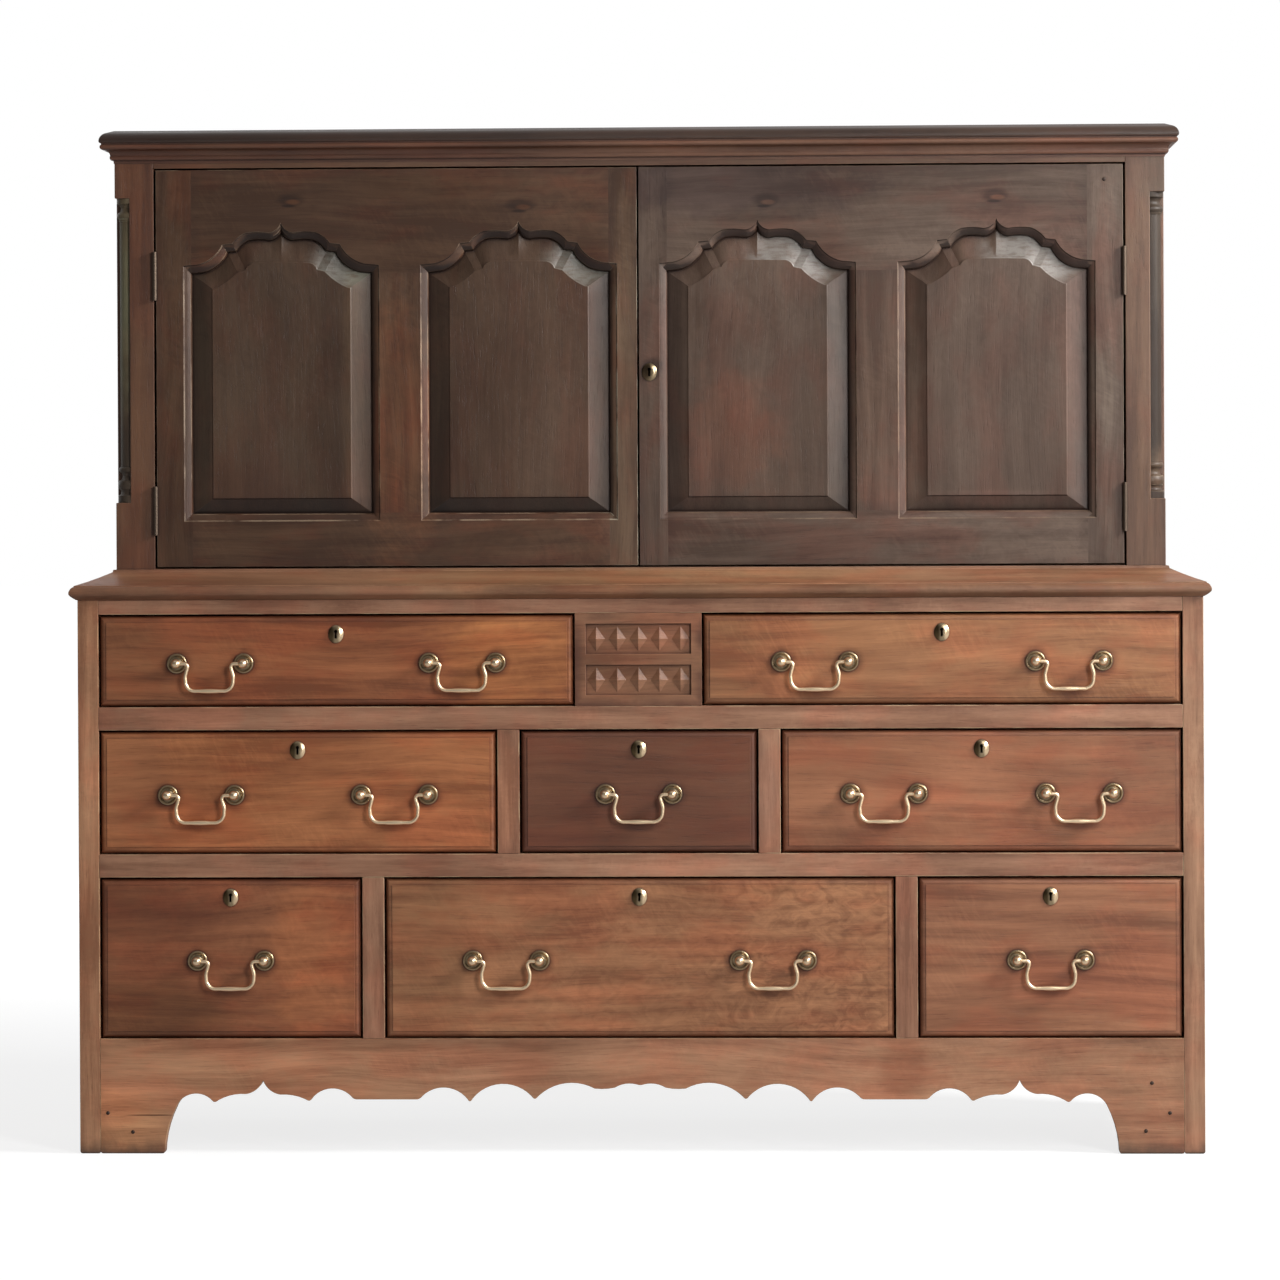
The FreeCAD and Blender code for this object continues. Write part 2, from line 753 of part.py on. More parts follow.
def hinge_leaf(height, spans, leaf_x):
    """A leaf of the right door's hinge, with its own knuckles on the hinge line."""
    plate_front = hinge_y + knuckle_radius + knuckle_clearance
    low = height - hinge_length / 2
    high = height + hinge_length / 2
    shapes = [box(leaf_x, leaf_x + leaf_thickness, plate_front, plate_front + leaf_width, low, high)]
    bores = []
    for bottom, top in spans:
        centre = Vector(hinge_x, hinge_y, bottom)
        shapes.append(Part.makeCylinder(knuckle_radius, top - bottom, centre))
        neck_back = plate_front + knuckle_clearance
        shapes.append(box(leaf_x, leaf_x + leaf_thickness, hinge_y, neck_back, bottom, top))
        bore_start = Vector(hinge_x, hinge_y, bottom - overrun)
        bore_radius = hinge_pin_radius + pin_clearance
        bores.append(Part.makeCylinder(bore_radius, top - bottom + 2 * overrun, bore_start))
    leaf = joined(shapes)
    for bore in bores:
        leaf = leaf.cut(bore)
    return leaf


def door_hinge_leaves():
    """The leaves that are let to the right door's edge, with the even knuckles."""
    return [hinge_leaf(height, knuckle_spans(height)[1::2], door_right) for height in hinge_heights]


def frame_hinge_leaves():
    """The leaves on both front posts, with the odd knuckles, and the headed pins through them."""
    pieces = []
    for height in hinge_heights:
        leaf_x = door_half_opening - leaf_thickness
        pieces.append(hinge_leaf(height, knuckle_spans(height)[0::2], leaf_x))
        low = height - hinge_length / 2
        shaft = Part.makeCylinder(hinge_pin_radius, hinge_length, Vector(hinge_x, hinge_y, low))
        head = Part.makeCylinder(knuckle_radius, hinge_pin_head, Vector(hinge_x, hinge_y, low + hinge_length))
        tail = Part.makeCylinder(knuckle_radius, hinge_pin_head, Vector(hinge_x, hinge_y, low - hinge_pin_head))
        pieces.append(joined([shaft, head, tail]))
    return pieces + [mirrored(piece) for piece in pieces]


def bolt_box(clearance, throw):
    """The room of the sliding bolt inside the door lock, with a clearance all round."""
    lock_back = upper_front + door_thickness
    middle_y = lock_back + door_lock_thickness / 2
    reach = bolt_thickness / 2 + clearance
    rise = bolt_height / 2 + clearance
    across = [door_left - throw, door_left + bolt_length + clearance]
    return box(*across, middle_y - reach, middle_y + reach, door_keyhole_z - rise, door_keyhole_z + rise)


def right_door_lock():
    """The keyhole plate on the right door's meeting stile, and the lock case behind it."""
    lock_front = upper_front + door_thickness
    low = door_keyhole_z - door_lock_height / 2
    high = door_keyhole_z + door_lock_height / 2
    case = box(
        door_left, door_left + door_lock_width, lock_front, lock_front + door_lock_thickness, low, high)
    case = case.cut(bolt_box(bolt_clearance, overrun))
    return [escutcheon(door_keyhole_x, door_keyhole_z, upper_front), case]


def door_lock_bolt():
    """The bolt, which slides out behind the left door's meeting stile."""
    return [bolt_box(0, 0)]


def handle_places(drawer):
    """The centres of a drawer's handles at the height of their pivots."""
    x0, x1, z0, z1, spacing = drawer
    middle = (x0 + x1) / 2
    height = (z0 + z1) / 2 - handle_drop
    if spacing == 0:
        return [(middle, height)]
    return [(middle - spacing / 2, height), (middle + spacing / 2, height)]


def keyhole_place(drawer):
    """The centre of a drawer's keyhole."""
    x0, x1, z0, z1, spacing = drawer
    return (x0 + x1) / 2, z1 - keyhole_drop


def drawer_front(drawer):
    """A front with rounded edges round a raised field, rebated behind for the sides and bored for its brass."""
    x0, x1, z0, z1, spacing = drawer
    left = x0 + front_gap
    right = x1 - front_gap
    low = z0 + front_lift
    high = z1 - front_gap
    ground_y = front_y + field_rise
    back = front_y + front_thickness
    body = box(left, right, ground_y, back, low, high)
    face_edges = [edge for edge in body.Edges if edge.BoundBox.YMax < (ground_y + back) / 2]
    body = body.makeFillet(front_edge_radius, face_edges)
    field_left = left + field_margin
    field_right = right - field_margin
    field = box(field_left, field_right, front_y, ground_y, low + field_margin, high - field_margin)
    body = joined([body, field])
    for start in [left, right - drawer_side]:
        body = body.cut(box(start, start + drawer_side, back - drawer_lap, back, low, high))
    for x, z in handle_places(drawer):
        for post_x in [x - handle_span / 2, x + handle_span / 2]:
            start = Vector(post_x, front_y - overrun, z)
            bore = Part.makeCylinder(shank_radius, front_thickness + 2 * overrun, start, Vector(0, 1, 0))
            body = body.cut(bore)
    x, z = keyhole_place(drawer)
    return [body.cut(keyhole(x, z, front_y - overrun, back + overrun))]


def drawer_box(drawer):
    """The two sides, the back and the bottom behind a front."""
    x0, x1, z0, z1, spacing = drawer
    left = x0 + front_gap
    right = x1 - front_gap
    low = z0 + drawer_float
    high = z1 - front_gap - drawer_side_drop
    front_back = front_y + front_thickness
    side_front = front_back - drawer_lap
    end = back_face_y - drawer_back_room
    pieces = []
    for start in [left, right - drawer_side]:
        pieces.append(box(start, start + drawer_side, side_front, end, low, high))
    inner_left = left + drawer_side
    inner_right = right - drawer_side
    bottom_low_z = low + drawer_bottom_lift
    bottom_high_z = bottom_low_z + drawer_bottom_thickness
    pieces.append(box(inner_left, inner_right, front_back, end, bottom_low_z, bottom_high_z))
    pieces.append(box(inner_left, inner_right, end - drawer_side, end, bottom_high_z, high - drawer_back_drop))
    return pieces


def handle_post(x, z, inward):
    """A turned post on its beaded rosette, with a shank through the front and a socket for the bail's pin."""
    ball_start = post_reach - math.sqrt(post_ball_radius ** 2 - post_neck_radius ** 2)
    shank_end = -front_thickness - shank_tail
    path = [(0, shank_end), [(shank_radius, shank_end)], [(shank_radius, 0)], [(rosette_radius, 0)]]
    path += [[(rosette_radius, rosette_rim)]]
    bead_middle = (rosette_radius + rosette_hollow_radius) / 2
    path += [[(bead_middle, rosette_bead), (rosette_hollow_radius, rosette_rim)]]
    hollow_middle = (rosette_hollow_radius + post_neck_radius) / 2
    path += [[(hollow_middle, rosette_rim), (post_neck_radius, rosette_height)]]
    path += [[(post_neck_radius, ball_start)], [(post_ball_radius, post_reach), (0, handle_reach)]]
    post = turned(
        path, Vector(x, front_y, z), Vector(0, 1, 0), lambda r, d: Vector(x + r, front_y - d, z), full_turn)
    pivot_y = front_y - post_reach
    socket_start = x + inward * (post_ball_radius - bail_pin_depth - pin_clearance)
    socket = Part.makeCylinder(
        bail_radius + pin_clearance, post_ball_radius, Vector(socket_start, pivot_y, z), Vector(inward, 0, 0))
    return post.cut(socket)


def handle_nut(x, z):
    """The square nut on a post's shank inside the drawer."""
    back = front_y + front_thickness
    half = nut_width / 2
    nut = box(x - half, x + half, back, back + nut_thickness, z - half, z + half)
    bore_start = Vector(x, back - overrun, z)
    return nut.cut(Part.makeCylinder(shank_radius, nut_thickness + 2 * overrun, bore_start, Vector(0, 1, 0)))


def drawer_brass(drawer):
    """The posts and nuts of a drawer's handles, its keyhole plate and its lock."""
    pieces = []
    for x, z in handle_places(drawer):
        for inward in [1, -1]:
            post_x = x - inward * handle_span / 2
            pieces += [handle_post(post_x, z, inward), handle_nut(post_x, z)]
    x, z = keyhole_place(drawer)
    pieces.append(escutcheon(x, z, front_y))
    back = front_y + front_thickness
    lock_low = z - lock_height * (1 - lock_top_share)
    lock_high = z + lock_height * lock_top_share
    pieces.append(box(x - lock_width / 2, x + lock_width / 2, back, back + lock_thickness, lock_low, lock_high))
    return pieces


def bail(x, z):
    """A swan-neck bail bent from one rod: pins into the posts, drawn-in necks and a grip that swells."""
    span_half = handle_span / 2
    half = [(span_half - post_ball_radius + bail_pin_depth, 0), (span_half - bail_neck_inset, 0)]
    half += [(span_half - bail_bulge_inset, -bail_bulge_drop), (span_half - bail_foot_inset, -bail_length)]
    corners = half + [(-u, v) for u, v in reversed(half)]
    pivot_y = front_y - post_reach
    points = [Vector(x + u, pivot_y, z + v) for u, v in corners]
    bends = [bail_neck_bend, bail_bulge_bend, bail_foot_bend]
    section = Part.Wire(Part.makeCircle(bail_radius, points[0], Vector(1, 0, 0)))
    rod = bent_path(points, bends + bends[::-1]).makePipeShell([section], True, False)
    end = grip_length / 2
    end_radius = bail_radius * grip_end_share
    path = [(-end, 0), [(-end, end_radius)], [(0, grip_radius), (end, end_radius)], [(end, 0)]]
    middle = Vector(x, pivot_y, z - bail_length)
    grip = turned(path, middle, Vector(1, 0, 0), lambda u, r: middle + Vector(u, 0, r), full_turn)
    return joined([rod, grip])


nodes = {
    "lower_sides": lower_sides(),
    "lower_rails": lower_rails(),
    "lower_muntins": lower_muntins(),
    "tablet_board": tablet_board(),
    "apron": apron(),
    "drawer_runners": drawer_runners(),
    "back_boards": back_boards(),
    "waist": waist(),
    "upper_stiles": upper_stiles(),
    "quarter_columns": quarter_columns(),
    "upper_sides": upper_sides(),
    "upper_rails": upper_rails(),
    "upper_boards": upper_boards(),
    "cornice": cornice(),
    "frame_hinge_leaves": frame_hinge_leaves(),
    "door_lock_bolt": door_lock_bolt(),
    "right_door_lock": right_door_lock(),
}

# The two doors are a pair: the left one is the right one turned over, without a keyhole
right_frame = door_frame()
right_keyhole = keyhole(
    door_keyhole_x, door_keyhole_z, upper_front - overrun, upper_front + door_thickness + overrun)
nodes["right_door_frame"] = [member.cut(right_keyhole) for member in right_frame]
nodes["left_door_frame"] = [mirrored(member) for member in right_frame]
nodes["right_door_panels"] = door_panels()
nodes["left_door_panels"] = [mirrored(panel) for panel in nodes["right_door_panels"]]
nodes["right_door_hinges"] = door_hinge_leaves()
nodes["left_door_hinges"] = [mirrored(leaf) for leaf in nodes["right_door_hinges"]]

for name, drawer in drawers.items():
    nodes[name + "_drawer_front"] = drawer_front(drawer)
    nodes[name + "_drawer_box"] = drawer_box(drawer)
    nodes[name + "_drawer_brass"] = drawer_brass(drawer)
    places = handle_places(drawer)
    endings = ["_bail"] if len(places) == 1 else ["_left_bail", "_right_bail"]
    for ending, (x, z) in zip(endings, places):
        nodes[name + ending] = [bail(x, z)]

for name, solids in nodes.items():
    Part.makeCompound(solids).exportStep("parts/" + name + ".step")
print(len(nodes), "nodes,", sum(len(solids) for solids in nodes.values()), "solids")
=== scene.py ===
import json
import math
import random

import bmesh
import bpy
from mathutils import Matrix, Vector

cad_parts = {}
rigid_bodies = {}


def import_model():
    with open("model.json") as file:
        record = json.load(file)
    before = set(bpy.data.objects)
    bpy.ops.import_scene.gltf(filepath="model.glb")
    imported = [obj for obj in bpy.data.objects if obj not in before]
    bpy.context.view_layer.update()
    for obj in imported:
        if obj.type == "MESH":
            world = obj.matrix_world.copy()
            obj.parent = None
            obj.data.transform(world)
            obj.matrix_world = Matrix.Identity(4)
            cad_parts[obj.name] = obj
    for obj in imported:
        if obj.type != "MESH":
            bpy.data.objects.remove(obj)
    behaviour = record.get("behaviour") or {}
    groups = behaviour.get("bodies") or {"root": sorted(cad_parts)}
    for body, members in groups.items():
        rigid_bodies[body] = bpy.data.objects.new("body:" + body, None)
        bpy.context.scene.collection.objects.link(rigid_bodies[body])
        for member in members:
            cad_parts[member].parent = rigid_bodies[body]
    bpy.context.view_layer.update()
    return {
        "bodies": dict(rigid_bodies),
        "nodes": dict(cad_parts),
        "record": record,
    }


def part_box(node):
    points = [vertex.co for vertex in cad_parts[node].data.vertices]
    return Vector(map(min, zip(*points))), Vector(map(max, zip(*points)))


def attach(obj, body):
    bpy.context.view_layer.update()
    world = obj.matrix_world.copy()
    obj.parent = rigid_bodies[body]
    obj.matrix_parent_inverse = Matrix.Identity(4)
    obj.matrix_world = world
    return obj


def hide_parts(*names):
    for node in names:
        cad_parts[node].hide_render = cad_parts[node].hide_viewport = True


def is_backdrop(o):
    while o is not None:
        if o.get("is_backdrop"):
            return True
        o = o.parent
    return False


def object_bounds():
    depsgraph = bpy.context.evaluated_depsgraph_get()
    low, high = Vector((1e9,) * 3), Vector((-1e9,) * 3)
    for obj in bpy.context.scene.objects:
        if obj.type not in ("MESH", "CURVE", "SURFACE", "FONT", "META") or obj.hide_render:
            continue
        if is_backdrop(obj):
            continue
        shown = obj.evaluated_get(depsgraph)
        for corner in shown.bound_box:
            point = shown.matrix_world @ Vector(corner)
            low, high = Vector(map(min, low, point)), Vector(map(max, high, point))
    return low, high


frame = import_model()

# Sides of the lower stage. Each is an oak plank about 31 mm thick, set upright and cut away below
# into two feet. The rails are tenoned into them, and their front edges are the outer uprights of the front.

chance = random.Random(1757)
body_of = {node: body for body, nodes in frame["record"]["behaviour"]["bodies"].items() for node in nodes}
side_arris = 0.0016
foot_wear = 0.0035
flat_angle = math.radians(0.4)
sharp_angle = math.radians(24)
crisp_degrees = 34
weld_reach = 0.00002
joint_reach = 0.0002
corner_digits = 6


def boards_of(node):
    """The boards of a node, each welded from its loose triangles. A board ends where no edge is left open."""
    source = frame["nodes"][node].data
    boards = []
    members = set()
    open_edges = set()
    for face in source.polygons:
        members.add(face.index)
        places = [source.vertices[index].co for index in face.vertices]
        corners = [tuple(round(value, corner_digits) for value in place) for place in places]
        for start, end in zip(corners, corners[1:] + corners[:1]):
            if (end, start) in open_edges:
                open_edges.remove((end, start))
            else:
                open_edges.add((start, end))
        if not open_edges:
            board = bmesh.new()
            board.from_mesh(source)
            others = [other for other in board.faces if other.index not in members]
            bmesh.ops.delete(board, geom=others, context="FACES")
            bmesh.ops.remove_doubles(board, verts=board.verts, dist=weld_reach)
            bmesh.ops.dissolve_limit(board, angle_limit=flat_angle, verts=board.verts, edges=board.edges)
            boards.append(board)
            members = set()
    return boards


def rounded(board, edges, width, segments):
    """Rounds some edges of a board, and returns the narrow faces that this makes."""
    made = bmesh.ops.bevel(
        board,
        geom=edges,
        offset=width,
        offset_type="OFFSET",
        segments=segments,
        profile=0.5,
        affect="EDGES",
        clamp_overlap=True,
        material=-1,
    )
    return made["faces"]


def box_of(board):
    """The lowest and the highest corner of a board."""
    low = Vector(min(vert.co[axis] for vert in board.verts) for axis in range(3))
    high = Vector(max(vert.co[axis] for vert in board.verts) for axis in range(3))
    return low, high


def meets(edge, boxes):
    """Whether the middle of an edge lies against another board."""
    middle = (edge.verts[0].co + edge.verts[1].co) / 2
    for low, high in boxes:
        if all(low[axis] - joint_reach < middle[axis] < high[axis] + joint_reach for axis in range(3)):
            return True
    return False


def eased(board, arris, boxes):
    """Takes the sharpness off the edges of a board, apart from those that are flush with another board."""
    sharp = [edge for edge in board.edges if edge.is_manifold and edge.calc_face_angle() > sharp_angle]
    return set(rounded(board, [edge for edge in sharp if not meets(edge, boxes)], arris, segments=2))


def worn_foot(board):
    """Rounds the edges on which a board stands, as mops and years of moving do."""
    standing = [edge for edge in board.edges if max(vert.co.z for vert in edge.verts) < weld_reach]
    rounded(board, standing, foot_wear, segments=3)


def as_mesh(shape, name):
    """A finished shape as a mesh. The shape itself is freed."""
    mesh = bpy.data.meshes.new(name)
    shape.to_mesh(mesh)
    shape.free()
    return mesh


def joinery(node, arris, wear=None, flush=True):
    """A node's boards as one mesh with eased edges. Each point knows where it lies in its own board:
    along the grain, which runs the long way, across it, and through the thickness."""
    joined = bmesh.new()
    lies = []
    halves = []
    seeds = []
    rubbed = []
    boards = boards_of(node)
    boxes = [box_of(board) for board in boards]
    for number, board in enumerate(boards):
        if wear:
            wear(board)
        worn_faces = eased(board, arris, boxes[:number] + boxes[number + 1:] if flush else [])
        low, high = box_of(board)
        middle = (low + high) / 2
        half = (high - low) / 2
        order = sorted(range(3), key=lambda axis: -half[axis])
        seed = chance.random()
        for vert in board.verts:
            lies.extend((vert.co - middle)[axis] for axis in order)
            halves.extend(half[axis] for axis in order)
            seeds.append(seed)
        rubbed.extend(float(face in worn_faces) for face in board.faces)
        single = as_mesh(board, "board")
        joined.from_mesh(single)
        bpy.data.meshes.remove(single)
    mesh = as_mesh(joined, node + "_joinery")
    mesh.attributes.new("grain", "FLOAT_VECTOR", "POINT").data.foreach_set("vector", lies)
    mesh.attributes.new("half", "FLOAT_VECTOR", "POINT").data.foreach_set("vector", halves)
    mesh.attributes.new("seed", "FLOAT", "POINT").data.foreach_set("value", seeds)
    mesh.attributes.new("rubbed", "FLOAT", "FACE").data.foreach_set("value", rubbed)
    return mesh


def placed(name, data):
    """A new object in the scene, at the origin."""
    piece = bpy.data.objects.new(name, data)
    bpy.context.scene.collection.objects.link(piece)
    return piece


def settle(mesh, node, material, crisp=crisp_degrees):
    """Puts a finished mesh in the place of its node, on the node's own body. Edges past the crisp angle
    stay sharp to the eye."""
    if "custom_normal" in mesh.attributes:
        mesh.attributes.remove(mesh.attributes["custom_normal"])
    mesh.materials.clear()
    mesh.materials.append(material)
    mesh.shade_smooth()
    mesh.set_sharp_from_angle(angle=math.radians(crisp))
    piece = placed(node + "_finished", mesh)
    shading = piece.modifiers.new("flat_faces_stay_flat", "WEIGHTED_NORMAL")
    shading.keep_sharp = True
    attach(piece, body_of[node])
    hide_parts(node)


def put(tree, kind, sockets=(), **settings):
    """Adds a shader node. Each socket takes a plain value or another node's output."""
    node = tree.nodes.new("ShaderNode" + kind)
    for name, value in settings.items():
        setattr(node, name, value)
    for socket, value in dict(sockets).items():
        if isinstance(value, bpy.types.NodeSocket):
            tree.links.new(value, node.inputs[socket])
        else:
            node.inputs[socket].default_value = value
    return node


def maths(tree, operation, *values):
    return put(tree, "Math", enumerate(values), operation=operation).outputs[0]


def vectors(tree, operation, *values, answer="Vector"):
    return put(tree, "VectorMath", enumerate(values), operation=operation).outputs[answer]


def along(tree, vector, axis):
    return put(tree, "SeparateXYZ", {0: vector}).outputs[axis]


def place_of(tree):
    return put(tree, "TexCoord").outputs["Object"]


def own(tree, name, answer="Vector"):
    """What a mesh says of itself in one of its attributes."""
    return put(tree, "Attribute", attribute_name=name).outputs[answer]


def noise(tree, vector, scales, detail=2.0, roughness=0.5, distortion=0.0):
    """Smooth noise, drawn out as the scales say along each axis of the vector."""
    sockets = {"Vector": vectors(tree, "MULTIPLY", vector, scales), "Scale": 1.0, "Detail": detail}
    sockets |= {"Roughness": roughness, "Distortion": distortion}
    return put(tree, "TexNoise", sockets).outputs["Fac"]


def nudged(tree, base, value, share):
    """The base, moved by a share of how far a noise lies from its middle, one half."""
    return maths(tree, "MULTIPLY_ADD", maths(tree, "SUBTRACT", value, 0.5), share, base)


def ramp(tree, value, low, high, start=0.0, end=1.0):
    """A smooth rise from start to end while the value goes from low to high."""
    sockets = {"Value": value, "From Min": low, "From Max": high, "To Min": start, "To Max": end}
    return put(tree, "MapRange", sockets, interpolation_type="SMOOTHSTEP").outputs["Result"]


def mixed(tree, share, first, second, blend="MIX"):
    """Two colours in one. A mix node of colours has them in its sockets 6 and 7."""
    return put(tree, "Mix", {0: share, 6: first, 7: second}, data_type="RGBA", blend_type=blend).outputs[2]


def node_group(name, inputs, outputs):
    """An empty node group, with what it is given and what it is asked for."""
    tree = bpy.data.node_groups.new(name, "ShaderNodeTree")
    for socket, kind in inputs.items():
        tree.interface.new_socket(socket, in_out="INPUT", socket_type="NodeSocket" + kind)
    for socket, kind in outputs.items():
        tree.interface.new_socket(socket, in_out="OUTPUT", socket_type="NodeSocket" + kind)
    return tree, tree.nodes.new("NodeGroupInput").outputs, tree.nodes.new("NodeGroupOutput").inputs


seed_spread = (31.7, 17.3, 9.1)


def lie_of(tree):
    """Where a point lies in its board, and the same moved on by the board's own seed."""
    lie = own(tree, "grain")
    return lie, vectors(tree, "MULTIPLY_ADD", own(tree, "seed", "Fac"), seed_spread, lie)


wander_reach = 0.07
ray_slant = 1.05
fibre_contrast = 0.6
pore_darkness = 0.25


def oak_grain():
    """Oak as it is sawn: wandering streaks, fine fibre, open pores, the steep strokes of the rays in some
    places, a curly mottle in others, and here and there a redder blush."""
    inputs = {"Pale": "Color", "Deep": "Color", "Blush": "Color", "Streak": "Float", "Ray": "Float"}
    inputs |= {"Mottle": "Float", "Patch": "Float", "Blush share": "Float"}
    tree, given, asked = node_group("oak_grain", inputs, {"Color": "Color", "Height": "Float"})
    lie, moved = lie_of(tree)
    wander = nudged(tree, 0.0, noise(tree, moved, (1.7, 4.5, 4.5)), wander_reach)
    wound = vectors(tree, "ADD", moved, put(tree, "CombineXYZ", {"Y": wander}).outputs[0])
    streak = noise(tree, wound, (3.4, 44.0, 44.0), 6.0, 0.62)
    fibre = noise(tree, wound, (9.0, 300.0, 300.0), 3.0, 0.7)
    patch = noise(tree, moved, (3.0, 6.2, 6.2), 3.0, 0.55)
    pore = ramp(tree, noise(tree, wound, (34.0, 820.0, 820.0), 1.0), 0.62, 0.72)
    slant = put(tree, "VectorRotate", {"Vector": wound, "Angle": ray_slant}, rotation_type="Z_AXIS").outputs[0]
    ray = ramp(tree, noise(tree, slant, (40.0, 150.0, 70.0), 3.0, 0.6, 0.9), 0.4, 0.7)
    somewhere = ramp(tree, noise(tree, moved, (6.3, 10.1, 10.1)), 0.4, 0.65)
    figure = maths(tree, "MULTIPLY", maths(tree, "SUBTRACT", ray, 0.35), somewhere)
    curl = noise(tree, wound, (30.0, 44.0, 44.0), 4.0, 0.6, 1.8)
    curled = ramp(tree, along(tree, lie, "X"), -0.38, 0.3, 0.15, 1.0)
    curled = maths(tree, "MULTIPLY", curled, ramp(tree, patch, 0.3, 0.6, 0.4, 1.0))
    mottle = maths(tree, "MULTIPLY", maths(tree, "SUBTRACT", ramp(tree, curl, 0.3, 0.7), 0.55), curled)
    light = nudged(tree, 0.5, streak, given["Streak"])
    light = nudged(tree, light, patch, given["Patch"])
    light = nudged(tree, light, fibre, fibre_contrast)
    light = maths(tree, "MULTIPLY_ADD", figure, given["Ray"], light)
    light = maths(tree, "MULTIPLY_ADD", mottle, given["Mottle"], light)
    light = maths(tree, "MULTIPLY_ADD", pore, -pore_darkness, light)
    colour = mixed(tree, light, given["Deep"], given["Pale"])
    red_place = noise(tree, moved, (7.0, 15.0, 11.0), 4.0, 0.6)
    red_share = maths(tree, "MULTIPLY", ramp(tree, red_place, 0.42, 0.64), given["Blush share"])
    colour = mixed(tree, red_share, colour, mixed(tree, 1.0, colour, given["Blush"], "MULTIPLY"))
    height = maths(tree, "MULTIPLY_ADD", fibre, 0.5, maths(tree, "MULTIPLY", streak, 0.4))
    height = maths(tree, "MULTIPLY_ADD", pore, -0.5, height)
    tree.links.new(colour, asked["Color"])
    tree.links.new(height, asked["Height"])
    return tree


corner_width = 0.012
seam_width = 0.003
wax_unevenness = 0.3
dirt_and_shade_dullness = 0.2


def oak_handling():
    """What use does to a board, with painted shade: darker towards its edges, partly dirt and partly painted
    shade, painted shade with some dirt in its corners and joints, bare wood on rubbed arrises, and wax that
    lies unevenly."""
    inputs = {"Color": "Color", "Dirt and shade": "Color", "Edge dirt and shade share": "Float", "Edge dirt and shade reach": "Float"}
    inputs |= {"Corner share": "Float", "Rub": "Color", "Rub share": "Float", "Roughness": "Float"}
    tree, given, asked = node_group("oak_handling", inputs, {"Color": "Color", "Roughness": "Float"})
    lie, moved = lie_of(tree)
    # Darker towards the edges of each board: partly dirt, partly painted shade on the moulded edges.
    room = vectors(tree, "SUBTRACT", own(tree, "half"), vectors(tree, "ABSOLUTE", lie))
    ways = put(tree, "SeparateXYZ", {0: room}).outputs
    nearest = maths(tree, "MINIMUM", maths(tree, "MINIMUM", ways[0], ways[1]), ways[2])
    farthest = maths(tree, "MAXIMUM", maths(tree, "MAXIMUM", ways[0], ways[1]), ways[2])
    total = maths(tree, "ADD", maths(tree, "ADD", ways[0], ways[1]), ways[2])
    to_edge = maths(tree, "SUBTRACT", maths(tree, "SUBTRACT", total, nearest), farthest)
    uneven = noise(tree, moved, (11.0, 16.0, 16.0), 4.0, 0.6)
    far_in = maths(tree, "DIVIDE", to_edge, given["Edge dirt and shade reach"])
    edge_dirt_and_shade = maths(tree, "MULTIPLY", ramp(tree, far_in, 0.0, 1.0, 1.0, 0.0), ramp(tree, uneven, 0.25, 0.65))
    edge_dirt_and_shade = maths(tree, "MULTIPLY", edge_dirt_and_shade, given["Edge dirt and shade share"])
    # Painted shade, with some dirt: ambient occlusion darkens the corners and the joints between parts.
    open_sky = put(tree, "AmbientOcclusion", {"Distance": corner_width}, samples=5).outputs["AO"]
    corner_dirt_and_shade = maths(tree, "MULTIPLY", ramp(tree, open_sky, 0.35, 0.85, 1.0, 0.0), given["Corner share"])
    free = put(tree, "AmbientOcclusion", {"Distance": seam_width}, samples=4).outputs["AO"]
    seam_dirt_and_shade = maths(tree, "MULTIPLY", ramp(tree, free, 0.7, 0.95, 0.7, 0.0), given["Corner share"])
    dirt_and_shade = maths(tree, "MAXIMUM", maths(tree, "MAXIMUM", edge_dirt_and_shade, corner_dirt_and_shade), seam_dirt_and_shade)
    colour = mixed(tree, dirt_and_shade, given["Color"], given["Dirt and shade"])
    touch = noise(tree, moved, (23.0, 23.0, 23.0), 3.0, 0.6)
    bared = maths(tree, "MULTIPLY", ramp(tree, touch, 0.38, 0.62), ramp(tree, free, 0.75, 0.95))
    rub = maths(tree, "MULTIPLY", own(tree, "rubbed", "Fac"), bared)
    colour = mixed(tree, maths(tree, "MULTIPLY", rub, given["Rub share"]), colour, given["Rub"])
    wax = noise(tree, moved, (4.0, 9.0, 9.0), 3.0, 0.6)
    gloss = nudged(tree, given["Roughness"], wax, wax_unevenness)
    gloss = maths(tree, "MULTIPLY_ADD", dirt_and_shade, dirt_and_shade_dullness, gloss)
    tree.links.new(colour, asked["Color"])
    tree.links.new(gloss, asked["Roughness"])
    return tree


grain_group = oak_grain()
handling_group = oak_handling()
pale_tint = (1.36, 1.42, 1.45)
deep_tint = (0.62, 0.56, 0.52)
blush_tint = (1.12, 0.8, 0.74, 1.0)
dirt_and_shade_tint = (0.26, 0.16, 0.13)
bare_tint = (1.5, 1.6, 1.7)
pore_strength = 0.3
pore_depth = 0.0008


def scaled(colour, shares):
    return tuple(value * share for value, share in zip(colour, shares)) + (1.0,)


def new_finish(name):
    """A new material, with its tree and its shader."""
    material = bpy.data.materials.new(name)
    material.use_nodes = True
    return material, material.node_tree, material.node_tree.nodes["Principled BSDF"]


